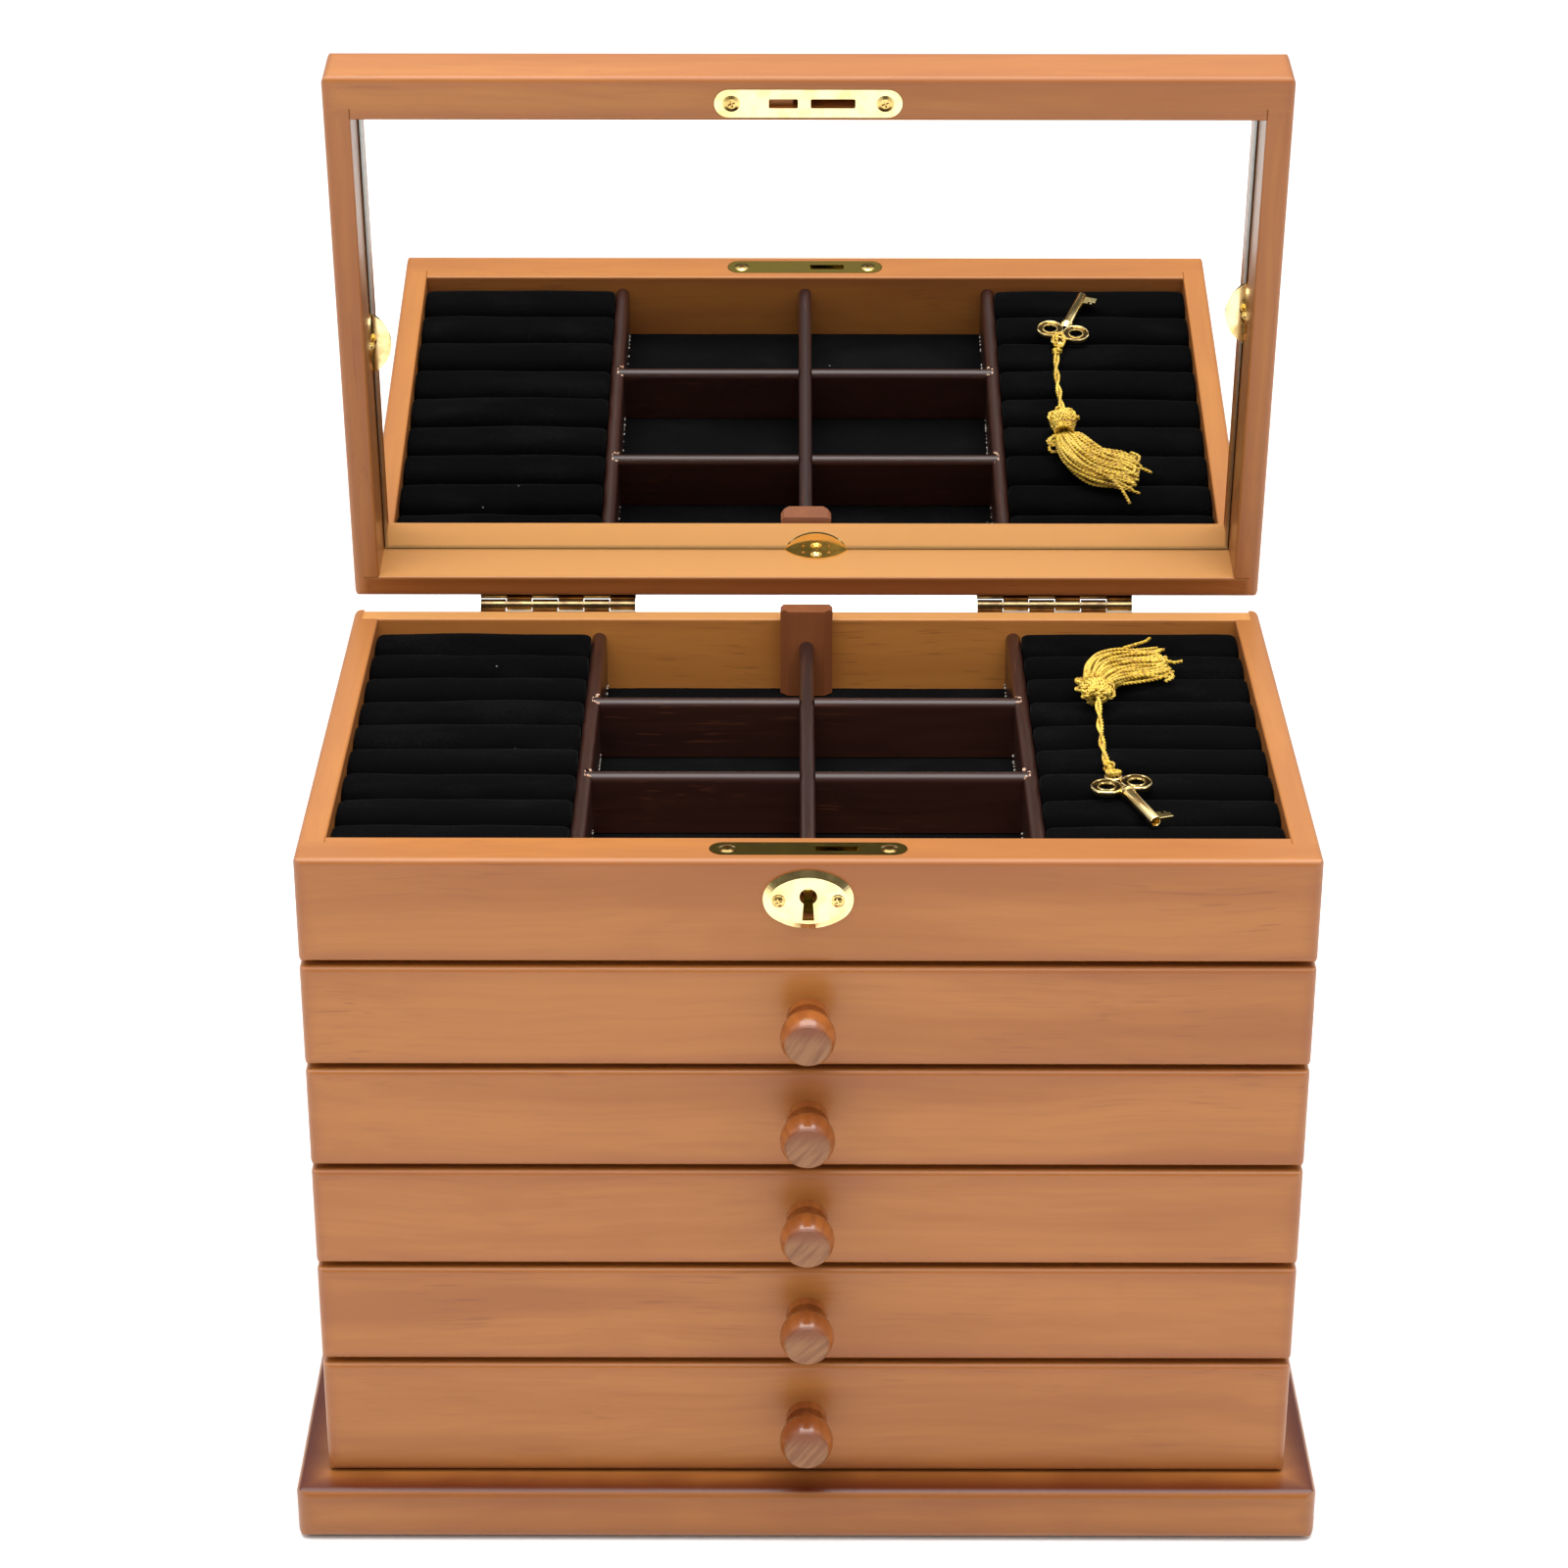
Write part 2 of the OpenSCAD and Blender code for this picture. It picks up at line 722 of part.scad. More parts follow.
// A brass case in the wall: the hook's pocket, the key's chamber, and the pin for the hollow key
module lock_case() {
    y0 = lock_y - case_t / 2;
    y1 = lock_y + case_t / 2;
    hook_y = lock_y - hook_t / 2 - 0.2;
    color(brass) {
        difference() {
            box_from([-case_w / 2, y0, case_z - case_h], [case_w / 2, y1, case_z]);
            translate([hook_x, hook_y + hook_t + 0.4, hook_z])
                rotate([90, 0, 0])
                    linear_extrude(hook_t + 0.4)
                        intersection() {
                            circle(hook_r + hook_clear);
                            translate([-hook_hub_r - hook_clear, -2 * hook_r]) square(4 * hook_r);
                        }
            translate([0, hook_y + past / 2, keyhole_z])
                rotate([90, 0, 0]) cylinder(h = hook_y - y0 - case_wall + past / 2, r = keyhole_len);
            keyhole(y0 - past, y0 + 2 * case_wall);
        }
        translate([hook_x, y1 - past, hook_z]) rotate([90, 0, 0]) cylinder(h = case_t - 2 * past, d = hook_pin_d);
        translate([0, y1 - past, keyhole_z])
            rotate([90, 0, 0]) cylinder(h = case_t - past - case_wall, d = key_bore_d - 0.3);
    }
}

// A curved hook on a hub. It rises through the plate's slot and passes over the strike's bridge
module lock_hook() {
    sweep = hook_rest[1] - hook_rest[0];
    color(brass)
        translate([hook_x, lock_y + hook_t / 2, hook_z])
            rotate([90, 0, 0])
                linear_extrude(hook_t)
                    difference() {
                        union() {
                            intersection() {
                                difference() {
                                    circle(hook_r);
                                    circle(hook_r - hook_arm);
                                }
                                rotate(hook_rest[0])
                                    polygon([[0, 0], [4 * hook_r, 0],
                                        [4 * hook_r * cos(sweep / 2), 4 * hook_r * sin(sweep / 2)],
                                        [4 * hook_r * cos(sweep), 4 * hook_r * sin(sweep)]]);
                            }
                            circle(hook_hub_r);
                            rotate(hook_rest[0]) square([hook_r - hook_arm / 2, 3]);
                        }
                        circle(d = hook_pin_d + 2 * pin_clear);
                    }
}

module lock_screws() {
    color(brass) {
        at_plate_screws() flat_screw(plate_head_d);
        at_oval_screws() dome_screw();
    }
}

module keyhole_plate() {
    edge = 0.5;
    color(brass)
        difference() {
            translate([0, front_y, oval_z])
                rotate([90, 0, 0])
                    hull() {
                        linear_extrude(edge) oval(oval_l / 2, oval_h / 2, oval_end_r);
                        linear_extrude(oval_t)
                            oval(oval_l / 2 - oval_bevel, oval_h / 2 - oval_bevel, oval_end_r - oval_bevel);
                    }
            keyhole(front_y - oval_t - past, front_y + past);
            at_oval_screws() dome_screw(screw_clear);
        }
}

// ---- Hinges -----------------------------------------------------------------

// Screws of the hinge leaves: side -1 puts them below the pins, side 1 above
module at_leaf_screws(side) {
    for (mid = [-hinge_x, hinge_x], x = leaf_screw_x)
        translate([mid + x, half_d + leaf_t, hinge_z + side * leaf_screw_z]) rotate([-90, 0, 0]) children();
}

// The leaf and the knuckles first, first + 2, and so on; side as above
module hinge_leaf(first, side, bore) {
    difference() {
        union() {
            box_from([-hinge_len / 2, half_d, side > 0 ? hinge_z + leaf_edge : hinge_z - leaf_h],
                [hinge_len / 2, half_d + leaf_t, side > 0 ? hinge_z + leaf_h : hinge_z - leaf_edge]);
            for (k = [first : 2 : knuckles - 1]) {
                x0 = -hinge_len / 2 + k * knuckle_len + knuckle_gap / 2;
                x1 = x0 + knuckle_len - knuckle_gap;
                translate([x0, hinge_y, hinge_z]) rotate([0, 90, 0]) cylinder(h = x1 - x0, d = barrel_d);
                box_from([x0, half_d, side > 0 ? hinge_z : hinge_z - leaf_edge - past],
                    [x1, half_d + leaf_t, side > 0 ? hinge_z + leaf_edge + past : hinge_z]);
            }
        }
        translate([-hinge_len / 2 - past, hinge_y, hinge_z])
            rotate([0, 90, 0]) cylinder(h = hinge_len + 2 * past, d = bore);
    }
}

module hinge_leaves(first, side, bore) {
    difference() {
        for (x = [-hinge_x, hinge_x])
            translate([x, 0, 0]) hinge_leaf(first, side, bore);
        at_leaf_screws(side) flat_screw(leaf_head_d, screw_clear);
    }
}

module hinge_leaves_body() {
    color(old_brass) hinge_leaves(0, -1, pin_d + 2 * pin_clear);
}

module hinge_pins() {
    color(old_brass)
        for (x = [-hinge_x, hinge_x])
            translate([x - hinge_len / 2 + knuckle_gap / 2, hinge_y, hinge_z])
                rotate([0, 90, 0]) cylinder(h = hinge_len - knuckle_gap, d = pin_d);
}

module hinge_screws_body() {
    color(old_brass) at_leaf_screws(-1) flat_screw(leaf_head_d);
}

// ---- Lid, each piece drawn closed and turned about the hinge pins -----------

module opened() {
    translate([0, hinge_y, hinge_z])
        rotate([-lid_open, 0, 0])
            translate([0, -hinge_y, -hinge_z]) children();
}

module at_strike_screws() {
    for (x = [-1, 1])
        translate([x * plate_screws / 2, lock_y, lid_z]) rotate([180, 0, 0]) children();
}

// Turns a piece drawn for the rear clip to each of the four clips: its foot is the corner
// between the mirror and the rail, X runs along the rail and Y from the mirror's middle out
module at_clips() {
    translate([clip_x, lid_back_y, mirror_z]) children();
    translate([clip_x, lid_in_y, mirror_z]) rotate(180) children();
    translate([-in_x, half_d - clip_left, mirror_z]) rotate(90) children();
    translate([in_x, half_d - clip_right, mirror_z]) rotate(-90) children();
}

module at_clip_screws() {
    at_clips() translate([0, -clip_t, -clip_leaf * 0.55]) rotate([90, 0, 0]) children();
}

module lid_front_rail() {
    ends = half_w + past;
    color(wood)
        opened()
            difference() {
                rounded_block([-half_w, lid_y, lid_z], [half_w, lid_in_y, lid_top],
                    plan = [corner_r, corner_r, 0, 0], side = [rim_r, inner_r, 0, lid_r],
                    face = [rim_r, rim_r, lid_r, lid_r]);
                both_sides()
                    box_from([in_x, lid_in_y - front_lap, lid_z - past],
                        [ends, lid_in_y + past, lid_top + past]);
                translate([0, lock_y, lid_z - past])
                    linear_extrude(strike_t + past)
                        stadium(strike_l + 2 * plate_clear, strike_w + 2 * plate_clear);
                box_from([hook_x - 6.5, lock_y - slot_w / 2, lid_z],
                    [hook_x + hook_r + hook_clear, lock_y + slot_w / 2, hook_z + hook_r + 2 * hook_clear]);
                box_from([strike_slots[0][0], lock_y - slot_w / 2, lid_z],
                    [hook_x, lock_y + slot_w / 2, lid_z + 2 * strike_t]);
                at_strike_screws() flat_screw(plate_head_d, screw_clear);
                at_clip_screws() dome_screw(screw_clear);
            }
}

module right_lid_rail() {
    difference() {
        rounded_block([in_x, lid_in_y - front_lap, lid_z], [half_w, half_d, lid_top],
            plan = [0, 0, corner_r, 0], side = [0, rim_r, lid_r, 0], face = [inner_r, rim_r, lid_r, 0]);
        rear_rebate(lid_back_y, lid_z, lid_top);
    }
}

module lid_left_rail() {
    color(wood)
        opened()
            difference() {
                mirror([1, 0, 0]) right_lid_rail();
                at_clip_screws() dome_screw(screw_clear);
            }
}

module lid_right_rail() {
    color(wood)
        opened()
            difference() {
                right_lid_rail();
                at_clip_screws() dome_screw(screw_clear);
            }
}

module lid_rear_rail() {
    x = half_w - back_lip;
    color(wood)
        opened()
            difference() {
                rounded_block([-x, lid_back_y, lid_z], [x, half_d, lid_top], side = [inner_r, rim_r, lid_r, 0]);
                at_leaf_screws(1) flat_screw(leaf_head_d, screw_clear);
                at_clip_screws() dome_screw(screw_clear);
            }
}

module lid_panel() {
    color(wood) opened() box_from([-in_x, lid_in_y, panel_z], [in_x, lid_back_y, lid_top]);
}

module mirror_sheet(z0, z1) {
    box_from([-in_x + mirror_gap, lid_in_y + mirror_gap, z0],
        [in_x - mirror_gap, lid_back_y - mirror_gap, z1]);
}

module mirror_node() {
    color("silver") opened() mirror_sheet(mirror_z, backing_z);
}

module mirror_backing() {
    color("#2a221c") opened() mirror_sheet(backing_z, panel_z);
}

// An oval of sheet brass folded along its middle, half on the rail and half over the glass
module mirror_clips() {
    r = (pow(clip_len / 2, 2) + pow(clip_leaf, 2)) / (2 * clip_leaf);
    color(brass)
        opened()
            difference() {
                at_clips() {
                    translate([0, 0, -clip_t])
                        linear_extrude(clip_t) clip_leaf_outline(r);
                    rotate([-90, 0, 0]) translate([0, 0, -clip_t])
                        linear_extrude(clip_t) mirror([0, 1]) clip_leaf_outline(r);
                }
                at_clip_screws() dome_screw(screw_clear);
                at_clips() clip_dimples();
            }
}

module clip_leaf_outline(r) {
    intersection() {
        translate([0, r - clip_leaf]) circle(r);
        translate([-clip_len, -clip_len]) square([2 * clip_len, clip_len]);
    }
}

module clip_dimples() {
    for (x = [-4.6, 4.6])
        translate([x, past, -clip_leaf * 0.4]) rotate([90, 0, 0]) cylinder(h = 2 * past, d = 1.2);
}

module strike_plate() {
    color(brass)
        opened()
            difference() {
                translate([0, lock_y, lid_z]) linear_extrude(strike_t) stadium(strike_l, strike_w);
                for (span = strike_slots)
                    translate([0, 0, lid_z]) slot(span, strike_t);
                at_strike_screws() flat_screw(plate_head_d, screw_clear);
            }
}

module lid_screws() {
    color(brass)
        opened() {
            at_strike_screws() flat_screw(plate_head_d);
            at_clip_screws() dome_screw();
        }
}

module hinge_leaves_lid() {
    color(old_brass) opened() hinge_leaves(1, 1, pin_d + 2 * pin_clear);
}

module hinge_screws_lid() {
    color(old_brass) opened() at_leaf_screws(1) flat_screw(leaf_head_d);
}

// ---- Drawers ----------------------------------------------------------------

module drawer_front(n) {
    z = front_z(n);
    r = [front_r, front_r, front_r, front_r];
    color(wood)
        difference() {
            rounded_block([-half_w, front_y, z], [half_w, front_rear_y, z + front_h(n)],
                plan = [corner_r, corner_r, 0, 0], side = [front_r, 0, 0, front_r], face = r);
            translate([0, front_y + knob_tenon_len + screw_clear, z + front_h(n) / 2])
                rotate([90, 0, 0])
                    cylinder(h = knob_tenon_len + screw_clear + past, d = knob_tenon_d + 2 * screw_clear);
        }
}

// Two sides, a back and a bottom, with a groove down each side for the runner
module drawer_box(n) {
    z = box_z(n);
    x = box_w / 2;
    gz = groove_z(n);
    gh = runner_h / 2 + groove_clear;
    color("#c08a50")
        difference() {
            box_from([-x, front_rear_y, z], [x, box_y1, z + box_h(n)]);
            box_from([-x + box_t, front_rear_y - past, z + box_bottom_t],
                [x - box_t, box_y1 - box_t, z + box_h(n) + past]);
            both_sides()
                box_from([x - groove_depth, runner_y - groove_clear, gz - gh], [x + past, box_y1 + past, gz + gh]);
        }
}

module drawer_lining(n) {
    z = box_z(n) + box_bottom_t + soft_gap;
    x = box_w / 2 - box_t - soft_gap;
    color(velvet) box_from([-x, front_rear_y + soft_gap, z], [x, box_y1 - box_t - soft_gap, z + lining_t]);
}

// A turned knob: tenon, collar, neck, and a ball cut flat at its end
module drawer_knob(n) {
    r = knob_ball_d / 2;
    ball = knob_len - sqrt(r * r - pow(knob_flat_d / 2, 2));
    color("#b5652b")
        translate([0, front_y, front_z(n) + front_h(n) / 2])
            rotate([90, 0, 0]) {
                translate([0, 0, -knob_tenon_len]) cylinder(h = knob_tenon_len, d = knob_tenon_d);
                cylinder(h = knob_collar_t, d = knob_collar_d);
                cylinder(h = ball, d = knob_neck_d);
                intersection() {
                    translate([0, 0, ball]) sphere(r);
                    cylinder(h = knob_len, d = 2 * knob_ball_d);
                }
            }
}

// ---- Key and tassel ---------------------------------------------------------

// The key lies flat, its bow at the origin and its tip towards -Y
module flat_key() {
    shaft_r = key_shaft_d / 2;
    eye_r = key_eye_d / 2;
    ring_r = 3.4;
    difference() {
        union() {
            translate([0, 0, -key_bow_t / 2])
                linear_extrude(key_bow_t) {
                    for (x = [-1, 1])
                        translate([x * key_eye_pitch / 2, 0]) circle(eye_r);
                    translate([0, key_ring_at]) circle(ring_r);
                    translate([-ring_r, 0]) square([2 * ring_r, key_ring_at - ring_r / 2]);
                    polygon([[-5, -2], [5, -2], [2.2, -9], [-2.2, -9]]);
                }
            rotate([90, 0, 0]) translate([0, 0, eye_r / 2]) cylinder(h = key_len - eye_r / 2, r = shaft_r);
            box_from([0, -key_len + 1, -0.9], [shaft_r + 4.6, -key_len + 5.6, 0.9]);
        }
        rotate([90, 0, 0]) translate([0, 0, key_len - 12]) cylinder(h = 13, d = key_bore_d);
        for (x = [-1, 1])
            translate([x * key_eye_pitch / 2, 0, -key_bow_t]) cylinder(h = 2 * key_bow_t, r = eye_r - 2.2);
        translate([0, key_ring_at + 0.4, -key_bow_t]) cylinder(h = 2 * key_bow_t, r = 1.7);
        for (x = [3.6, 5.4])
            box_from([x, -key_len + 4.1, -past], [x + 0.8, -key_len + 6, past]);
    }
}

module key() {
    color(brass) translate(key_at) rotate(key_turn) flat_key();
}

function unit(v) = v / norm(v);
function route_dir(p, i) = unit(p[min(i + 1, len(p) - 1)] - p[max(i - 1, 0)]);
// A ring of sides points round the route's point i
function route_ring(p, i, r, sides) =
    let (d = route_dir(p, i), u = unit(cross(d, [0, 0, 1])), v = cross(u, d))
    [for (k = [0 : sides - 1]) p[i] + r * (cos(360 * k / sides) * u + sin(360 * k / sides) * v)];

module tube_along(p, r, sides) {
    n = len(p);
    points = [for (i = [0 : n - 1]) each route_ring(p, i, r, sides)];
    walls = [for (i = [0 : n - 2], k = [0 : sides - 1])
        let (a = i * sides + k, b = i * sides + (k + 1) % sides)
        [a, b, b + sides, a + sides]];
    first = [[for (k = [sides - 1 : -1 : 0]) k]];
    last = [[for (k = [0 : sides - 1]) (n - 1) * sides + k]];
    polyhedron(points, concat(first, walls, last));
}

// The twisted cord from the key's ring to the tassel's head
module key_cord() {
    thinned = [for (i = [0 : 3 : len(cord_route) - 1]) cord_route[i]];
    color(silk) tube_along(thinned, cord_d / 2, 8);
}

module tassel_head() {
    color(silk) translate(tassel_at) sphere(d = tassel_head_d);
}

// The outer shape of the skirt of threads, spread over the cushion
module tassel_skirt() {
    z = roll_z + soft_gap;
    color(silk)
        hull() {
            translate([skirt_neck.x, skirt_neck.y, z]) cylinder(h = skirt_h + 1, r = neck_r, $fn = 24);
            translate([skirt_bend.x, skirt_bend.y, z]) cylinder(h = skirt_h, r = bend_r, $fn = 24);
            for (p = skirt_ends)
                translate([p.x, p.y, z]) cylinder(h = skirt_h - 2, r = ends_r, $fn = 24);
        }
}

base_felt();
base_plinth();
side_panel_left();
side_panel_right();
back_panel();
tray_front_wall();
tray_floor();
tray_lining();
drawer_runners();
lid_block();
ring_rolls_left();
ring_rolls_right();
divider_left();
divider_right();
divider_centre();
cross_dividers();
lock_plate();
lock_case();
lock_hook();
lock_screws();
keyhole_plate();
hinge_leaves_body();
hinge_pins();
hinge_screws_body();
key();
key_cord();
tassel_head();
tassel_skirt();
lid_front_rail();
lid_rear_rail();
lid_left_rail();
lid_right_rail();
lid_panel();
mirror_node();  // mirror
mirror_backing();
mirror_clips();
strike_plate();
lid_screws();
hinge_leaves_lid();
hinge_screws_lid();
drawer_front(1);  // drawer_1_front
drawer_box(1);  // drawer_1_box
drawer_lining(1);  // drawer_1_lining
drawer_knob(1);  // drawer_1_knob
drawer_front(2);  // drawer_2_front
drawer_box(2);  // drawer_2_box
drawer_lining(2);  // drawer_2_lining
drawer_knob(2);  // drawer_2_knob
drawer_front(3);  // drawer_3_front
drawer_box(3);  // drawer_3_box
drawer_lining(3);  // drawer_3_lining
drawer_knob(3);  // drawer_3_knob
drawer_front(4);  // drawer_4_front
drawer_box(4);  // drawer_4_box
drawer_lining(4);  // drawer_4_lining
drawer_knob(4);  // drawer_4_knob
drawer_front(5);  // drawer_5_front
drawer_box(5);  // drawer_5_box
drawer_lining(5);  // drawer_5_lining
drawer_knob(5);  // drawer_5_knob
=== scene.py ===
import json
import math
import random

import bmesh
import bpy
from mathutils import Matrix, Vector, noise


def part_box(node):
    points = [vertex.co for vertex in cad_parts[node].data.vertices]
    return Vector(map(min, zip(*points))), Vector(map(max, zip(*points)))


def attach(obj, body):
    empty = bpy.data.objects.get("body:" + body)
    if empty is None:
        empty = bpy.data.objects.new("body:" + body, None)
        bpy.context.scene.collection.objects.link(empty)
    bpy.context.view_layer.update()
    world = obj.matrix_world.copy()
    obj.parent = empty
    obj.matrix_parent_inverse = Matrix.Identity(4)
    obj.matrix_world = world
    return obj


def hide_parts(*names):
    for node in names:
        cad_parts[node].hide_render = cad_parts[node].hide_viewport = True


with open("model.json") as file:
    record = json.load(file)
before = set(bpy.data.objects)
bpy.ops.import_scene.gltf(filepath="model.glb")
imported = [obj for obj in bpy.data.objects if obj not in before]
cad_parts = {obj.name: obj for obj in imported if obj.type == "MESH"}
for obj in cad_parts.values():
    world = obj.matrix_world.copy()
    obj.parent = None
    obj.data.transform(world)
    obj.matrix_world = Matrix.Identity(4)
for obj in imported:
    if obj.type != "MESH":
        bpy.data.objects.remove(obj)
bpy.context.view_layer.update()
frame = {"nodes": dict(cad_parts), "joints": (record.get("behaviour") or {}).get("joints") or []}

nodes = frame["nodes"]
MM = 0.001

# ---- Studio -----------------------------------------------------------------
# A white sweep, a large soft light overhead, a weak one on each side, and pale cards all round that
# are brighter higher up. Low ahead of the chest the room is dark, which shows in the brass.

CAMERA_AT = Vector((-0.00588, -1.18557, 0.80301))
CAMERA_PITCH = math.radians(90 - 25.836)
CAMERA_YAW = math.radians(0.089)
CAMERA_ROLL = math.radians(0.038)
LENS_MM = 90.504
SENSOR_MM = 36
FARTHEST = 50

camera = bpy.data.objects.new("camera", bpy.data.cameras.new("camera"))
camera.data.sensor_width = SENSOR_MM
camera.data.lens = LENS_MM
camera.data.clip_end = FARTHEST
camera.matrix_world = (Matrix.Translation(CAMERA_AT) @ Matrix.Rotation(CAMERA_YAW, 4, "Z")
                       @ Matrix.Rotation(CAMERA_PITCH, 4, "X") @ Matrix.Rotation(CAMERA_ROLL, 4, "Z"))
bpy.context.collection.objects.link(camera)
bpy.context.scene.camera = camera
bpy.context.scene.view_settings.view_transform = "Standard"


def feed(tree, node, feeds):
    """Gives each input in feeds, by name or number, a value or another node's output."""
    for key, value in feeds.items():
        if isinstance(value, bpy.types.NodeSocket):
            tree.links.new(value, node.inputs[key])
        else:
            node.inputs[key].default_value = value


def add_node(tree, kind, feeds=None, **settings):
    """A shader node with its settings and what feeds its inputs."""
    made = tree.nodes.new("ShaderNode" + kind)
    for key, value in settings.items():
        setattr(made, key, value)
    feed(tree, made, feeds or {})
    return made


def soft_light(name, place, aim, width, height, watts):
    """A rectangular soft box that faces the point aim."""
    lamp = bpy.data.lights.new(name, "AREA")
    lamp.shape = "RECTANGLE"
    lamp.size, lamp.size_y = width, height
    lamp.energy = watts
    box = bpy.data.objects.new(name, lamp)
    box.location = place
    box.rotation_euler = (Vector(aim) - Vector(place)).to_track_quat("-Z", "Y").to_euler()
    bpy.context.collection.objects.link(box)


# Name, place, the point it faces, width, height and watts of each soft box.
SOFT_BOXES = [
    ("overhead_soft_box", (0, -0.25, 1.75), (0, 0, 0.15), 1.7, 1.3, 36),
    ("left_soft_box", (-1.5, -0.9, 0.75), (0, 0, 0.2), 0.8, 1.1, 3.5),
    ("right_soft_box", (1.5, -0.9, 0.75), (0, 0, 0.2), 0.8, 1.1, 3.5),
]
for box in SOFT_BOXES:
    soft_light(*box)

world = bpy.data.worlds.new("studio")
bpy.context.scene.world = world
world.use_nodes = True
sky = world.node_tree
sky.nodes.clear()
LOW_CARDS = (0.40, 0.40, 0.40, 1)
HIGH_CARDS = (1.35, 1.35, 1.35, 1)
DARK_ROOM = (0.10, 0.09, 0.07, 1)
# In parts of the direction: where ahead the dark starts and is full, how high it ends and is full,
# and where the cards start to brighten and are brightest.
DARK_AHEAD = (-0.45, -0.85)
DARK_BELOW = (0.72, 0.45)
BRIGHTENING = (0.2, 0.9)
way = add_node(sky, "TexCoord").outputs["Generated"]
split = add_node(sky, "SeparateXYZ", {0: way}).outputs
ahead = add_node(sky, "MapRange", {0: split["Y"], 1: DARK_AHEAD[0], 2: DARK_AHEAD[1]}).outputs[0]
below = add_node(sky, "MapRange", {0: split["Z"], 1: DARK_BELOW[0], 2: DARK_BELOW[1]}).outputs[0]
dark = add_node(sky, "Math", {0: ahead, 1: below}, operation="MULTIPLY").outputs[0]
up = add_node(sky, "MapRange", {0: split["Z"], 1: BRIGHTENING[0], 2: BRIGHTENING[1]},
              interpolation_type="SMOOTHSTEP").outputs[0]
cards = add_node(sky, "Mix", {0: up, 6: LOW_CARDS, 7: HIGH_CARDS}, data_type="RGBA").outputs[2]
tone = add_node(sky, "Mix", {0: dark, 6: cards, 7: DARK_ROOM}, data_type="RGBA").outputs[2]
glow = add_node(sky, "Background", {"Color": tone, "Strength": 1.0}).outputs[0]
add_node(sky, "OutputWorld", {"Surface": glow})

FLOOR_HALF = 20.0
FLOOR_WHITE = (0.93, 0.93, 0.93, 1)
FLOOR_CLOUD = (0.95, 0.95, 0.95, 1)
FLOOR_CELLS = 3.0


def new_mesh(name, points, faces, smooth=True):
    """An object from points and faces in the chest's frame, linked to the scene."""
    mesh = bpy.data.meshes.new(name)
    mesh.from_pydata([tuple(p) for p in points], [], faces)
    mesh.validate()
    mesh.polygons.foreach_set("use_smooth", [smooth] * len(mesh.polygons))
    made = bpy.data.objects.new(name, mesh)
    bpy.context.collection.objects.link(made)
    return made


def new_material(name):
    """An empty material: its tree, its shader, and the coordinates of the piece in metres."""
    made = bpy.data.materials.new(name)
    made.use_nodes = True
    tree = made.node_tree
    tree.nodes.clear()
    shader = add_node(tree, "BsdfPrincipled")
    add_node(tree, "OutputMaterial", {"Surface": shader.outputs[0]})
    place = add_node(tree, "TexCoord").outputs["Object"]
    return made, tree, shader, place


sweep_white, tree, shader, place = new_material("sweep_white")
cloudy = add_node(tree, "TexNoise", {"Vector": place, "Scale": FLOOR_CELLS})
shade = add_node(tree, "Mix", {0: cloudy.outputs["Fac"], 6: FLOOR_WHITE, 7: FLOOR_CLOUD}, data_type="RGBA")
feed(tree, shader, {"Base Color": shade.outputs[2], "Roughness": 0.9, "Specular IOR Level": 0.1})
floor = new_mesh("white_sweep", [(-FLOOR_HALF, -FLOOR_HALF, 0), (FLOOR_HALF, -FLOOR_HALF, 0),
                                 (FLOOR_HALF, FLOOR_HALF, 0), (-FLOOR_HALF, FLOOR_HALF, 0)], [(0, 1, 2, 3)])
floor.data.materials.append(sweep_white)

# ---- Key, cord and tassel ---------------------------------------------------
# A plated key lies on the right-hand ring rolls. A cord of two strands wound round each other is
# looped through the small ring of its bow, knotted, and runs to a tassel: a wound head and a skirt
# of cut twisted threads.

CORD_D = 2.6 * MM
CORD_ROUTE = [
    (98.8, -36.4, 249.4), (98.5, -33.2, 249.3), (98.0, -29.8, 249.3), (97.6, -26.2, 249.3),
    (97.3, -22.5, 249.4), (97.1, -18.8, 249.5), (97.0, -15.0, 249.7), (97.0, -11.2, 249.9),
    (97.0, -7.4, 250.2), (97.0, -3.6, 250.5), (97.1, 0.2, 250.9), (97.2, 4.0, 251.3),
    (97.3, 7.8, 251.7), (97.4, 11.5, 252.1), (97.5, 15.1, 252.4), (97.5, 18.7, 252.7),
]
CORD_STEP = 1.2
STRAND_D = 1.35 * MM
CORD_TURN = 24 * MM
THREAD_D = 1.3 * MM
PLIES = 2
PLY_SIDES = 6
PLY_SHARE = 0.86
PITCH = 2.4
STEPS_A_TURN = 9
CURVE_STEPS = 8


def along(points, step):
    """The points again, spaced evenly along a smooth curve through them."""
    fine = []
    n = len(points)
    for i in range(n - 1):
        a, b, c, d = (Vector(points[max(0, min(n - 1, j))]) for j in (i - 1, i, i + 1, i + 2))
        for k in range(CURVE_STEPS):
            t = k / CURVE_STEPS
            fine.append(0.5 * (2 * b + (c - a) * t + (2 * a - 5 * b + 4 * c - d) * t * t
                               + (3 * b - a - 3 * c + d) * t ** 3))
    fine.append(Vector(points[-1]))
    spaced, gone = [fine[0]], 0.0
    for a, b in zip(fine, fine[1:]):
        piece = (b - a).length
        while piece and gone + piece >= step * len(spaced):
            spaced.append(a.lerp(b, (step * len(spaced) - gone) / piece))
        gone += piece
    if (spaced[-1] - fine[-1]).length > step / 3:
        spaced.append(fine[-1])
    return spaced


def round_angles(steps, last=0):
    """The angles of a full turn in equal steps; last is 1 to end on the first again."""
    return [2 * math.pi * i / steps for i in range(steps + last)]


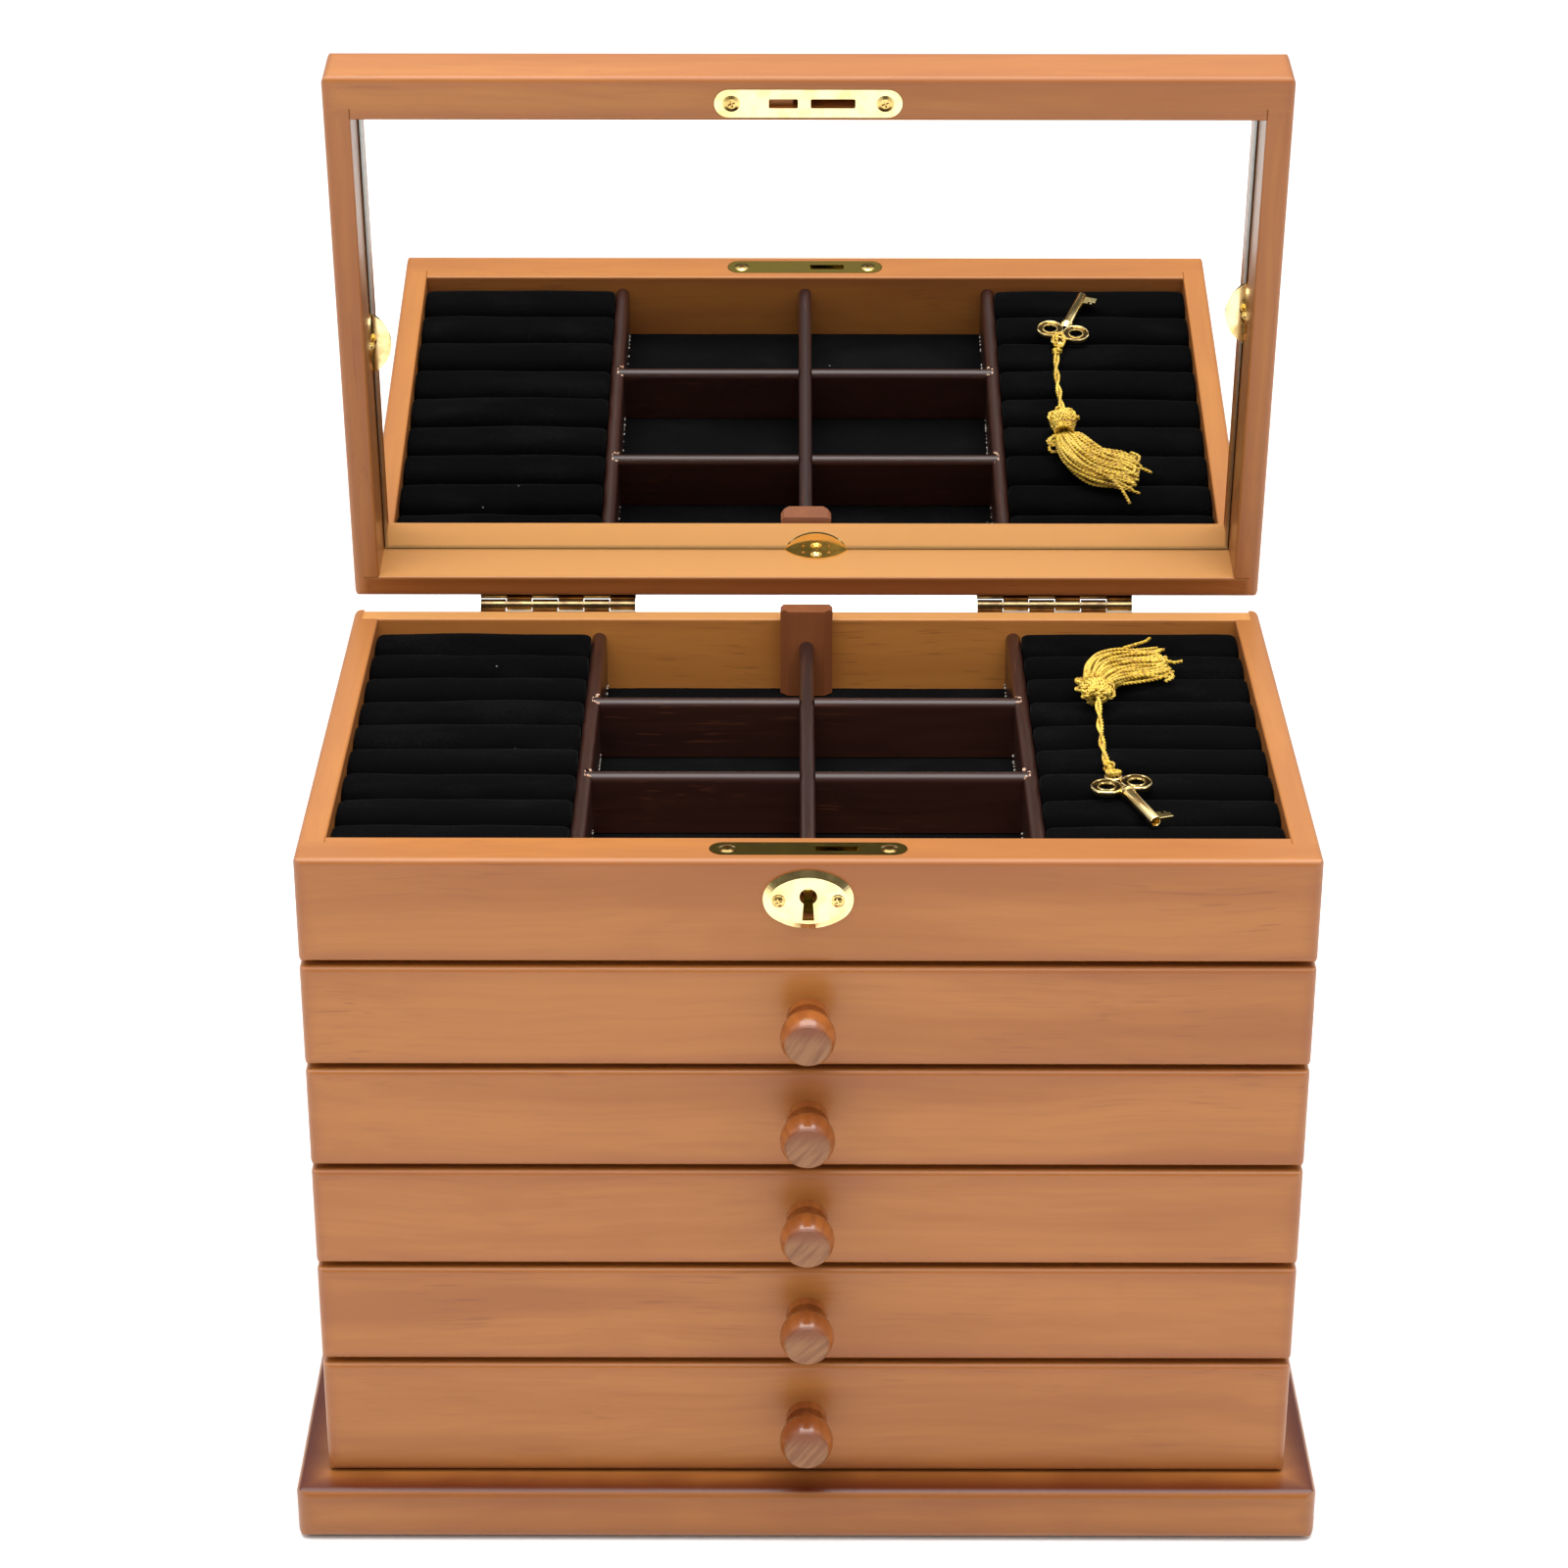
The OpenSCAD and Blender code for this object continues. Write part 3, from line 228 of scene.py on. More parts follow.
def band(first, second, n, flip=False):
    """Four-sided faces between two rings of n points that are numbered from first and from second."""
    faces = []
    for k in range(n):
        m = (k + 1) % n
        if flip:
            faces.append((first + k, second + k, second + m, first + m))
        else:
            faces.append((first + k, first + m, second + m, second + k))
    return faces


def twisted(points, diameter, closed=False, turn=0.0):
    """Points and faces of a thread of twisted plies that follows points; PITCH is in diameters."""
    ply_r = diameter / (PLIES + 1.0) * PLY_SHARE
    offset = diameter / 2 - ply_r
    path = along(points, diameter * PITCH / STEPS_A_TURN)
    if closed:
        path = path[:-1]
    n = len(path)
    verts, faces = [], []
    side = Vector((0, 0, 1))
    frames = []
    for i in range(n):
        ahead = path[(i + 1) % n] if closed else path[min(i + 1, n - 1)]
        behind = path[i - 1] if closed or i else path[0]
        way = (ahead - behind).normalized()
        side = side - side.dot(way) * way
        side = side.normalized() if side.length > 1e-6 else way.orthogonal().normalized()
        frames.append((way, side.copy(), way.cross(side)))
    for ply in range(PLIES):
        first = len(verts)
        for i, (way, u, v) in enumerate(frames):
            a = turn + 2 * math.pi * (ply / PLIES + i / STEPS_A_TURN)
            middle = path[i] + offset * (math.cos(a) * u + math.sin(a) * v)
            for b in round_angles(PLY_SIDES):
                verts.append(middle + ply_r * (math.cos(b) * u + math.sin(b) * v))
        for i in range(n if closed else n - 1):
            faces += band(first + i * PLY_SIDES, first + (i + 1) % n * PLY_SIDES, PLY_SIDES)
        if not closed:
            faces.append(tuple(first + k for k in reversed(range(PLY_SIDES))))
            faces.append(tuple(first + (n - 1) * PLY_SIDES + k for k in range(PLY_SIDES)))
    return verts, faces


def gather(name, parts):
    """One object from several lists of points and faces."""
    points, faces = [], []
    for some_points, some_faces in parts:
        start = len(points)
        points += list(some_points)
        faces += [tuple(start + i for i in face) for face in some_faces]
    return new_mesh(name, points, faces)


def new_group(name, inputs, outputs):
    """A shader node group with named sockets: its tree, what comes in, and what goes out."""
    group = bpy.data.node_groups.new(name, "ShaderNodeTree")
    for label, kind, value in inputs:
        socket = group.interface.new_socket(label, in_out="INPUT", socket_type="NodeSocket" + kind)
        if value is not None:
            socket.default_value = value
    for label, kind in outputs:
        group.interface.new_socket(label, in_out="OUTPUT", socket_type="NodeSocket" + kind)
    return group, group.nodes.new("NodeGroupInput").outputs, group.nodes.new("NodeGroupOutput").inputs


def place_group(tree, group, feeds):
    """The group as a node in a material, with its own values."""
    made = tree.nodes.new("ShaderNodeGroup")
    made.node_tree = group
    feed(tree, made, feeds)
    return made


def stretched_noise(tree, place, scale, detail=3.0, rough=0.55):
    """Noise whose cells are stretched: scale is cells per metre along X, Y and Z."""
    laid = add_node(tree, "Mapping", {"Vector": place, "Scale": scale})
    return add_node(tree, "TexNoise", {"Vector": laid.outputs[0], "Scale": 1.0, "Detail": detail,
                                       "Roughness": rough}).outputs["Fac"]


def ramp(tree, value, low, high, to_low=0.0, to_high=1.0):
    """The value spread from one range to another, smoothly and held at the ends."""
    return add_node(tree, "MapRange", {0: value, 1: low, 2: high, 3: to_low, 4: to_high},
                    interpolation_type="SMOOTHSTEP").outputs[0]


def mixed(tree, factor, first, second):
    """Two colours mixed."""
    return add_node(tree, "Mix", {0: factor, 6: first, 7: second}, data_type="RGBA").outputs[2]


def maths(tree, operation, first, second, kind="Math"):
    """Two values put together, or two vectors where kind is VectorMath."""
    return add_node(tree, kind, {0: first, 1: second}, operation=operation).outputs[0]


def times(tree, first, second):
    """Two values multiplied."""
    return maths(tree, "MULTIPLY", first, second)


def bumped(tree, shader, height, strength, distance):
    """Feeds a height to the shader's normal."""
    made = add_node(tree, "Bump", {"Height": height, "Strength": strength, "Distance": distance})
    tree.links.new(made.outputs[0], shader.inputs["Normal"])


# The silk's colour is mixed by fibre-sized noise between a painted highlight and a painted shade between the
# threads; larger patches fade it paler.
SILK_PAINTED_HIGHLIGHT = (0.74, 0.50, 0.034, 1)
SILK_PAINTED_SHADE = (0.28, 0.12, 0.006, 1)
SILK_FADED = (0.95, 0.74, 0.14, 1)
FIBRE_CELLS = (900, 900, 900)
DYE_CELLS = (120, 120, 120)
gold_thread, tree, shader, place = new_material("gold_thread")
strand = stretched_noise(tree, place, FIBRE_CELLS, detail=2.0)
dyed = stretched_noise(tree, place, DYE_CELLS, detail=2.0)
colour = mixed(tree, ramp(tree, strand, 0.3, 0.7), SILK_PAINTED_SHADE, SILK_PAINTED_HIGHLIGHT)
colour = mixed(tree, ramp(tree, dyed, 0.35, 0.75, 0.0, 0.5), colour, SILK_FADED)
feed(tree, shader, {"Base Color": colour, "Roughness": ramp(tree, dyed, 0.2, 0.8, 0.34, 0.5),
                    "Sheen Weight": 0.12, "Sheen Tint": (1.0, 0.85, 0.35, 1)})
bumped(tree, shader, strand, 0.35, 0.0002)

cord_path = [Vector(p) * MM for p in CORD_ROUTE]
fine_path = along(cord_path, CORD_STEP * MM)
strands = []
for first in (0, math.pi):
    path = []
    for i, p in enumerate(fine_path):
        a = first + 2 * math.pi * i * CORD_STEP * MM / CORD_TURN
        path.append(p + (CORD_D - STRAND_D) / 2 * Vector((math.cos(a), 0, math.sin(a))))
    strands.append(twisted(path, STRAND_D))
key_cord = gather("twisted_cord", strands)
key_cord.data.materials.append(gold_thread)
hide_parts("key_cord")
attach(key_cord, "chest")


KNOT_POINTS = 24
KNOT_TURNS = 2
KNOT_LOBES = 3


def knot_path(middle, r, tilt):
    """A closed overhand knot of radius r, as a thread is tied in on itself."""
    path = []
    for a in round_angles(KNOT_POINTS, 1):
        reach = r * (0.62 + 0.38 * math.cos(KNOT_LOBES * a))
        p = Vector((reach * math.cos(KNOT_TURNS * a), reach * math.sin(KNOT_TURNS * a),
                    r * 0.45 * math.sin(KNOT_LOBES * a)))
        path.append(middle + Matrix.Rotation(tilt, 3, "X") @ p)
    return path


LOOP_AT = Vector((98.9, -35.8, 250.3)) * MM
KNOT_AT = Vector((97.9, -29.4, 249.8)) * MM
KNOT_R = 1.7 * MM
# Half the width and the sideways shift of each turn of the cord through the ring, in millimetres.
CORD_LOOPS = ((2.1, 0.0), (1.3, 0.5))
LOOP_STEPS = 16
knot_parts = [twisted(knot_path(KNOT_AT, KNOT_R, tilt=0.5), STRAND_D, closed=True)]
for wide, shift in CORD_LOOPS:
    path = [LOOP_AT + Vector((wide * math.sin(a) + shift, -3.2 * math.cos(a), 1.1 * math.cos(a) + 0.5)) * MM
            for a in round_angles(LOOP_STEPS, 1)]
    knot_parts.append(twisted(path, STRAND_D, closed=True))
cord_knot = gather("cord_knot", knot_parts)
cord_knot.data.materials.append(gold_thread)
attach(cord_knot, "chest")

HEAD_R = 5.0 * MM
HEAD_THREADS = 24
HEAD_STEPS = 10
HEAD_LONG = 10.6
HEAD_START = 4.6
SLANT = math.radians(24)
# Distance along the head and radius of each turn of its neck, in millimetres.
NECK_TURNS = ((5.2, 3.2), (6.3, 3.3))
NECK_STEPS = 14
# Place on the head and radius of each small knot, in millimetres.
HEAD_KNOTS = ((-3.3, -3.6, 0.6, 2.3), (3.5, -3.2, 0.4, 2.3), (1.7, -5.4, 0.9, 1.9),
              (-1.0, -5.0, 1.6, 1.8), (-3.9, -1.2, 1.6, 2.0), (3.9, -0.8, 1.4, 1.9))
head_low, head_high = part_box("tassel_head")
head_at = (head_low + head_high) / 2
rng = random.Random(11)
wraps = []
for i in range(HEAD_THREADS):
    start = 2 * math.pi * i / HEAD_THREADS
    swell = rng.uniform(-0.08, 0.10)
    path = []
    for k in range(HEAD_STEPS + 1):
        t = k / HEAD_STEPS
        around = start + SLANT * (t - 0.5) + 0.10 * math.sin(9 * t + i)
        full = 0.56 + 0.44 * math.sin(math.pi * min(1, t * 1.25)) + swell * t * (1 - t) * 4
        r = (HEAD_R - THREAD_D * 0.5) * full
        path.append(head_at + Vector((r * math.cos(around), (HEAD_LONG * t - HEAD_START) * MM,
                                      r * math.sin(around))))
    wraps.append(twisted(path, THREAD_D, turn=start))
for y, r in NECK_TURNS:
    path = [head_at + Vector((r * math.cos(a), y + 0.4 * math.sin(a + y), r * math.sin(a))) * MM
            for a in round_angles(NECK_STEPS, 1)]
    wraps.append(twisted(path, THREAD_D, closed=True))
for x, y, z, r in HEAD_KNOTS:
    knot = knot_path(head_at + Vector((x, y, z)) * MM, r * MM, tilt=0.9 * x)
    wraps.append(twisted(knot, THREAD_D, closed=True))
core = bmesh.new()
bmesh.ops.create_icosphere(core, subdivisions=3, radius=HEAD_R - THREAD_D)
wraps.append(([head_at + v.co for v in core.verts],
              [tuple(v.index for v in f.verts) for f in core.faces]))
core.free()
tassel_head = gather("wound_tassel_head", wraps)
tassel_head.data.materials.append(gold_thread)
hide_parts("tassel_head")
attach(tassel_head, "chest")

SKIRT_THREADS = 40
OUTER_ROUTE = [(94.8, 29.0, 252.0), (94.4, 38.5, 254.4), (98.0, 50.0, 255.0), (106.0, 59.0, 254.0),
               (115.0, 62.0, 252.2), (121.5, 64.0, 251.0)]
INNER_ROUTE = [(101.0, 28.6, 252.0), (104.6, 31.5, 253.0), (109.5, 36.0, 252.4), (115.0, 39.0, 251.2),
               (120.5, 41.0, 250.6), (125.5, 45.0, 250.0)]
END = len(OUTER_ROUTE) - 1
LOWEST = 249.0
CURLED_BACK = 9
# Threads that lie away from the rest, two at the cut end and three by the neck.
STRAYS = [
    [(109.0, 57.0, 253.5), (114.0, 61.5, 253.0), (117.5, 67.0, 251.6), (119.5, 72.5, 250.4)],
    [(118.0, 49.0, 252.0), (122.5, 51.5, 251.5), (126.0, 51.0, 250.8), (129.0, 53.0, 250.4)],
    [(96.0, 30.5, 251.5), (93.2, 31.5, 252.0), (91.8, 34.5, 251.4), (93.6, 36.0, 250.8), (95.6, 35.0, 251.0)],
    [(96.0, 31.5, 250.8), (92.6, 33.5, 250.6), (91.6, 37.5, 250.2), (93.4, 39.0, 250.0), (96.0, 37.5, 250.5)],
    [(96.0, 30.0, 250.2), (92.8, 29.6, 250.0), (91.2, 31.6, 249.6), (92.8, 33.2, 249.5), (95.6, 33.0, 250.0)],
]
rng = random.Random(5)
threads = []
for i in range(SKIRT_THREADS):
    share = (i + rng.uniform(0.0, 1.0)) / SKIRT_THREADS
    layer = rng.random()
    drift = Vector((rng.uniform(-1.6, 1.6), rng.uniform(-3.0, 3.0), 0))
    path = []
    for k, (outer, inner) in enumerate(zip(OUTER_ROUTE, INNER_ROUTE)):
        p = Vector(outer).lerp(Vector(inner), share)
        p += drift * math.sin(0.5 * math.pi * k / END) * math.cos(k * 0.9 + i) + drift * (k == END) * 0.5
        p.z = LOWEST + (p.z - LOWEST) * layer + 0.4 * math.sin(2.0 * k + i)
        path.append(p)
    path[-1] = path[-2].lerp(path[-1], rng.uniform(0.4, 1.15))
    if i % CURLED_BACK == 4:
        path[-1] = path[-2] + Vector((5.0, 1.0, 0.3))
        path += [path[-2] + Vector((6.5, -3.5, 0.0)), path[-2] + Vector((3.5, -6.5, -0.3))]
    threads.append(twisted([p * MM for p in path], THREAD_D, turn=rng.uniform(0, 6)))
for route in STRAYS:
    threads.append(twisted([Vector(p) * MM for p in route], THREAD_D))
tassel_skirt = gather("tassel_threads", threads)
tassel_skirt.data.materials.append(gold_thread)
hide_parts("tassel_skirt")
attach(tassel_skirt, "chest")

GOLD = (0.96, 0.79, 0.40, 1)
GOLD_DULL = (0.88, 0.66, 0.26, 1)
PATCH_CELLS = (160, 160, 160)
SCRATCH_CELLS = (300, 2600, 2600)

plating_wear, coming, going = new_group(
    "plating wear",
    [("Vector", "Vector", None), ("Bright", "Color", (1, 1, 1, 1)), ("Dull", "Color", (1, 1, 1, 1))],
    [("Color", "Color"), ("Roughness", "Float"), ("Height", "Float")])
wear_and_top_light = stretched_noise(plating_wear, coming["Vector"], PATCH_CELLS)
scratches = stretched_noise(plating_wear, coming["Vector"], SCRATCH_CELLS, detail=2.0)
patch = ramp(plating_wear, wear_and_top_light, 0.35, 0.75)
plating_wear.links.new(mixed(plating_wear, patch, coming["Bright"], coming["Dull"]), going["Color"])
plating_wear.links.new(ramp(plating_wear, wear_and_top_light, 0.3, 0.8, 0.10, 0.26), going["Roughness"])
plating_wear.links.new(scratches, going["Height"])


def plated(name, bright, dull, strength=0.05):
    """Polished plated brass, a little dulled in patches and finely scratched."""
    made, tree, shader, place = new_material(name)
    wear = place_group(tree, plating_wear, {"Vector": place, "Bright": bright, "Dull": dull})
    feed(tree, shader, {"Base Color": wear.outputs["Color"], "Roughness": wear.outputs["Roughness"],
                        "Metallic": 1.0})
    bumped(tree, shader, wear.outputs["Height"], strength, 0.0001)
    return made


gold_plate = plated("gold_plate", GOLD, GOLD_DULL)

KEY_AT = Vector((101.0, -43.3, 249.4)) * MM
KEY_TURN = math.radians(19)
KEY_LEN = 27.5
EYE_PITCH = 10.4
EYE_STEPS = 48
RING_Y = 6.6
RING_R = 2.3
RING_WIRE = 0.8
RING_SIDES = 10
RING_STEPS = 40
TURNED_STEPS = 32
# Half of the section of an eye, from its hole outwards, as (radius, height) points.
EYE_SECTION = [(2.45, 0.0), (2.45, 0.75), (2.6, 0.95), (2.85, 0.95), (3.0, 0.75), (3.1, 0.40), (4.45, 0.40),
               (4.55, 0.75), (4.7, 1.0), (4.9, 1.05), (5.15, 0.85), (5.25, 0.4), (5.25, 0.0)]


def wire_ring(y, r, wire):
    """A round ring of round wire, lying in the key's plane."""
    steps, sides = RING_STEPS, RING_SIDES
    verts = [Vector(((r + wire * math.cos(b)) * math.cos(a), y + (r + wire * math.cos(b)) * math.sin(a),
                     wire * math.sin(b)))
             for a in round_angles(steps) for b in round_angles(sides)]
    faces = [face for i in range(steps) for face in band(i * sides, (i + 1) % steps * sides, sides, True)]
    return verts, faces


def eye(x):
    """One eye of the bow: a ring with a raised rim inside and out and a flat between them."""
    section = EYE_SECTION + [(r, -z) for r, z in reversed(EYE_SECTION[1:-1])]
    n, steps = len(section), EYE_STEPS
    verts = [Vector((x + r * math.cos(a), r * math.sin(a), z))
             for a in round_angles(steps) for r, z in section]
    faces = [face for i in range(steps) for face in band(i * n, (i + 1) % steps * n, n)]
    return verts, faces


def turned(profile):
    """A solid turned about the Y axis from (distance, radius) points."""
    steps = TURNED_STEPS
    verts = [Vector((r * math.cos(a), y, r * math.sin(a))) for y, r in profile for a in round_angles(steps)]
    faces = [face for j in range(len(profile) - 1) for face in band(j * steps, (j + 1) * steps, steps)]
    return verts, faces


def slab(outline, half, round_by):
    """A flat plate with eased edges from a convex outline in the key's plane."""
    middle = sum((Vector(p) for p in outline), Vector((0, 0))) / len(outline)
    n = len(outline)
    verts, faces = [], []
    for z, inset in ((-half, round_by), (-half + round_by, 0), (half - round_by, 0), (half, round_by)):
        for p in outline:
            q = Vector(p) + (middle - Vector(p)).normalized() * inset
            verts.append(Vector((q.x, q.y, z)))
    for j in range(3):
        faces += band(j * n, (j + 1) * n, n)
    faces += [tuple(reversed(range(n))), tuple(3 * n + i for i in range(n))]
    return verts, faces


BORE_R = 1.3
SHAFT_R = 1.95
SHAFT = [(-2.6, 1.4), (-4.2, 2.3), (-5.0, 2.6), (-5.7, 2.5), (-6.1, SHAFT_R + 0.1), (-9.0, SHAFT_R),
         (-KEY_LEN + 0.35, SHAFT_R), (-KEY_LEN, SHAFT_R - 0.25), (-KEY_LEN, BORE_R + 0.1),
         (-KEY_LEN + 0.15, BORE_R), (-KEY_LEN + 11, BORE_R), (-KEY_LEN + 11.5, 0.01)]
WAIST_R = 3.7
WAIST_HALF = 0.55
# The steps of the bit, as (nearest, farthest) from the shaft and (low, high) from the key's tip.
BIT = ((1.4, 3.7, 1.0, 5.2), (3.6, 4.6, 1.0, 3.7), (4.5, 5.3, 1.0, 5.2), (5.2, 6.4, 1.0, 3.9))
BIT_HALF = 0.75
waist = []
for side in (1, -1):
    for k in range(9):
        a = math.radians(-62 + 15.5 * k)
        waist.append((side * (WAIST_R * math.cos(a) - EYE_PITCH / 2), side * WAIST_R * math.sin(a)))
key_parts = [eye(-EYE_PITCH / 2), eye(EYE_PITCH / 2), wire_ring(RING_Y, RING_R, RING_WIRE), turned(SHAFT),
             slab(waist, WAIST_HALF, 0.05)]
for x0, x1, y0, y1 in BIT:
    y0, y1 = y0 - KEY_LEN, y1 - KEY_LEN
    key_parts.append(slab([(x0, y0), (x1, y0), (x1, y1), (x0, y1)], BIT_HALF, 0.15))
laid = Matrix.Translation(KEY_AT) @ Matrix.Rotation(KEY_TURN, 4, "Z") @ Matrix.Scale(MM, 4)
key_parts = [([laid @ v for v in verts], faces) for verts, faces in key_parts]
key = gather("cast_key", key_parts)
key.data.materials.append(gold_plate)
dark_flats = plated("dark_flats", (0.16, 0.095, 0.025, 1), (0.07, 0.04, 0.012, 1))
key.data.materials.append(dark_flats)
unlaid = laid.inverted()
# The sunk flats of the eyes and the waist between them are dark, up to this height in millimetres.
SUNK = 0.72
for face in key.data.polygons:
    spot = unlaid @ face.center
    from_eye = math.hypot(abs(spot.x) - EYE_PITCH / 2, spot.y)
    on_flat = abs(spot.z) < SUNK and spot.y > -4 and 3.05 < from_eye < 4.5
    on_waist = abs(spot.x) < 2.2 and abs(spot.y) < 3.6 and abs(spot.z) < SUNK
    face.material_index = int(on_flat or on_waist)
key.data.set_sharp_from_angle(angle=math.radians(40))
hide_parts("key")
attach(key, "chest")

# ---- Boards -----------------------------------------------------------------
# Straight-grained softwood, stained honey brown, with darker toner sprayed along the edges of the upright
# faces, under a satin varnish. Up-facing faces carry painted light, and a few boards carry painted shade.
# Each board has its own grain, shifted by a seeded draw.

# Cells per metre along and across the fibres, for each scale of the figure.
BLOTCH_CELLS = (4, 44, 44)
STREAK_CELLS = (7, 480, 480)
HILL_CELLS = (2.0, 15, 15)
PORE_PATCH_CELLS = (7, 26, 26)
PORE_CELLS = (40, 1100, 1100)
RINGS_ON_A_HILL = 170.0
WANDER = (0.0, 0.016, 0.016)
SPRAY_CELLS = (24, 24, 24)
ARRIS_BAND = (0.0004, 0.0016)

board_grain, coming, going = new_group(
    "board grain",
    [("Vector", "Vector", None), ("Light", "Color", (1, 1, 1, 1)), ("Dark", "Color", (0, 0, 0, 1)),
     ("Pore", "Color", (0, 0, 0, 1)), ("Figure", "Float", 0.5), ("Pores", "Float", 0.5)],
    [("Color", "Color"), ("Height", "Float"), ("Roughness", "Float")])
tree = board_grain
warp = add_node(tree, "TexNoise", {"Vector": coming["Vector"], "Scale": 9.0, "Detail": 2.0}).outputs["Color"]
warp = maths(tree, "SUBTRACT", warp, (0.5, 0.5, 0.5), "VectorMath")
warp = maths(tree, "MULTIPLY", warp, WANDER, "VectorMath")
bent = maths(tree, "ADD", coming["Vector"], warp, "VectorMath")
blotch = stretched_noise(tree, bent, BLOTCH_CELLS, detail=4.0)
streak = stretched_noise(tree, bent, STREAK_CELLS, detail=4.0, rough=0.65)
hill = stretched_noise(tree, bent, HILL_CELLS, detail=1.0)
rings = add_node(tree, "Math", {0: times(tree, hill, RINGS_ON_A_HILL)}, operation="SINE").outputs[0]
rings = times(tree, ramp(tree, rings, -0.2, 1.0), coming["Figure"])
where = ramp(tree, stretched_noise(tree, coming["Vector"], PORE_PATCH_CELLS), 0.46, 0.62)
ticks = ramp(tree, stretched_noise(tree, bent, PORE_CELLS, detail=1.5), 0.58, 0.72)
ticks = times(tree, times(tree, ticks, where), coming["Pores"])
colour = mixed(tree, ramp(tree, blotch, 0.38, 0.72, 0.0, 0.85), coming["Light"], coming["Dark"])
colour = mixed(tree, rings, colour, coming["Dark"])
colour = mixed(tree, ramp(tree, streak, 0.40, 0.78, 0.0, 0.42), colour, coming["Dark"])
colour = mixed(tree, ticks, colour, coming["Pore"])
tree.links.new(colour, going["Color"])
tree.links.new(maths(tree, "SUBTRACT", streak, ticks), going["Height"])
tree.links.new(ramp(tree, blotch, 0.3, 0.7, 0.30, 0.42), going["Roughness"])

# How near a point is to the edges of its own board: 1 on an edge, 0 at the given width from it.
# The least of the three distances to the board's faces is 0 on any face, so the middle one counts.
board_edge, coming, going = new_group(
    "board edge",
    [("Vector", "Vector", None), ("Low", "Vector", (0, 0, 0)), ("High", "Vector", (1, 1, 1)),
     ("Width", "Float", 0.01)],
    [("Mask", "Float"), ("Arris", "Float")])
tree = board_edge
from_low = maths(tree, "SUBTRACT", coming["Vector"], coming["Low"], "VectorMath")
from_high = maths(tree, "SUBTRACT", coming["High"], coming["Vector"], "VectorMath")
least = maths(tree, "MINIMUM", from_low, from_high, "VectorMath")
side = add_node(tree, "SeparateXYZ", {0: least}).outputs
lower = maths(tree, "MINIMUM", side[0], side[1])
upper = maths(tree, "MAXIMUM", side[0], side[1])
upper = maths(tree, "MINIMUM", upper, side[2])
middle = maths(tree, "MAXIMUM", lower, upper)
spray = stretched_noise(tree, coming["Vector"], SPRAY_CELLS, detail=2.0)
width = times(tree, coming["Width"], ramp(tree, spray, 0.25, 0.75, 0.75, 1.3))
share = maths(tree, "DIVIDE", middle, width)
tree.links.new(ramp(tree, share, 0.0, 1.0, 1.0, 0.0), going["Mask"])
tree.links.new(ramp(tree, middle, *ARRIS_BAND, 1.0, 0.0), going["Arris"])

HONEY = (0.385, 0.143, 0.032, 1)
HONEY_DARK = (0.285, 0.092, 0.023, 1)
PAINTED_TOP_LIGHT = (0.60, 0.285, 0.090, 1)
TONER = (0.23, 0.066, 0.026, 1)
PORE = (0.19, 0.058, 0.022, 1)
ALONG = {"X": (0, 0, 0), "Y": (0, 0, math.radians(-90)), "Z": (0, math.radians(90), 0)}
SHIFT = 9
LOOKS_UP = (0.6, 0.9)
ARRIS_SHARE = 0.35
DRAWERS = range(1, 6)
LID_SWING = math.radians(-83)
hinge = Vector(next(j for j in frame["joints"] if j["name"] == "lid_hinge")["pos_m"])
closing = Matrix.Translation(hinge) @ Matrix.Rotation(-LID_SWING, 4, "X") @ Matrix.Translation(-hinge)


def board_box(node, lid):
    """The lowest and highest corners of a board, with the lid's boards as they lie when it is shut."""
    points = [closing @ v.co if lid else v.co for v in nodes[node].data.vertices]
    return (Vector([min(p[i] for p in points) for i in range(3)]),
            Vector([max(p[i] for p in points) for i in range(3)]))


def board(node, grain="X", lid=False, light=HONEY, dark=HONEY_DARK, toner_and_shade=TONER, toned_and_shaded=0.40, on_top=0.1,
          wear_and_top_light=0.0, width=0.006, figure=0.10, pores=0.45, coat=0.10):
    """A varnished board: grain is the axis that its fibres follow. Toner darkens it by the share given as
    toned within width metres of its edges, times on_top where it looks up; on some boards this is painted
    shade. Where it looks up, it is lightened by the share given as rubbed: painted light from above. Its
    arrises are lightened, partly wear and partly a painted highlight."""
    made, tree, shader, place = new_material(node + "_wood")
    if lid:
        place = add_node(tree, "Mapping", {"Vector": place, "Rotation": (-LID_SWING, 0, 0),
                                           "Location": closing.translation}).outputs[0]
    low, high = board_box(node, lid)
    rng = random.Random(node)
    own = add_node(tree, "Mapping", {"Vector": place, "Rotation": ALONG[grain],
                                     "Location": [rng.uniform(-SHIFT, SHIFT) for _ in range(3)]}).outputs[0]
    wood = place_group(tree, board_grain, {"Vector": own, "Light": light, "Dark": dark, "Pore": PORE,
                                           "Figure": figure, "Pores": pores})
    edge = place_group(tree, board_edge, {"Vector": place, "Low": low, "High": high, "Width": width})
    facing = add_node(tree, "SeparateXYZ", {0: add_node(tree, "TexCoord").outputs["Normal"]}).outputs["Z"]
    share = ramp(tree, facing, *LOOKS_UP, toned_and_shaded, toned_and_shaded * on_top)
    colour = mixed(tree, times(tree, edge.outputs["Mask"], share), wood.outputs["Color"], toner_and_shade)
    # Up-facing faces are lightened towards a paler honey: painted light from above.
    colour = mixed(tree, ramp(tree, facing, *LOOKS_UP, 0.0, wear_and_top_light), colour, PAINTED_TOP_LIGHT)
    # The arrises are lightened towards the board's light colour: partly wear, partly a painted highlight.
    colour = mixed(tree, times(tree, edge.outputs["Arris"], ARRIS_SHARE), colour, light)
    feed(tree, shader, {"Base Color": colour, "Roughness": wood.outputs["Roughness"],
                        "Coat Weight": coat, "Coat Roughness": 0.22, "Specular IOR Level": 0.35})
    bumped(tree, shader, wood.outputs["Height"], 0.12, 0.0002)
    finish(node, made)


def finish(node, material):
    """Gives a machined piece its finish."""
    nodes[node].data.materials.clear()
    nodes[node].data.materials.append(material)
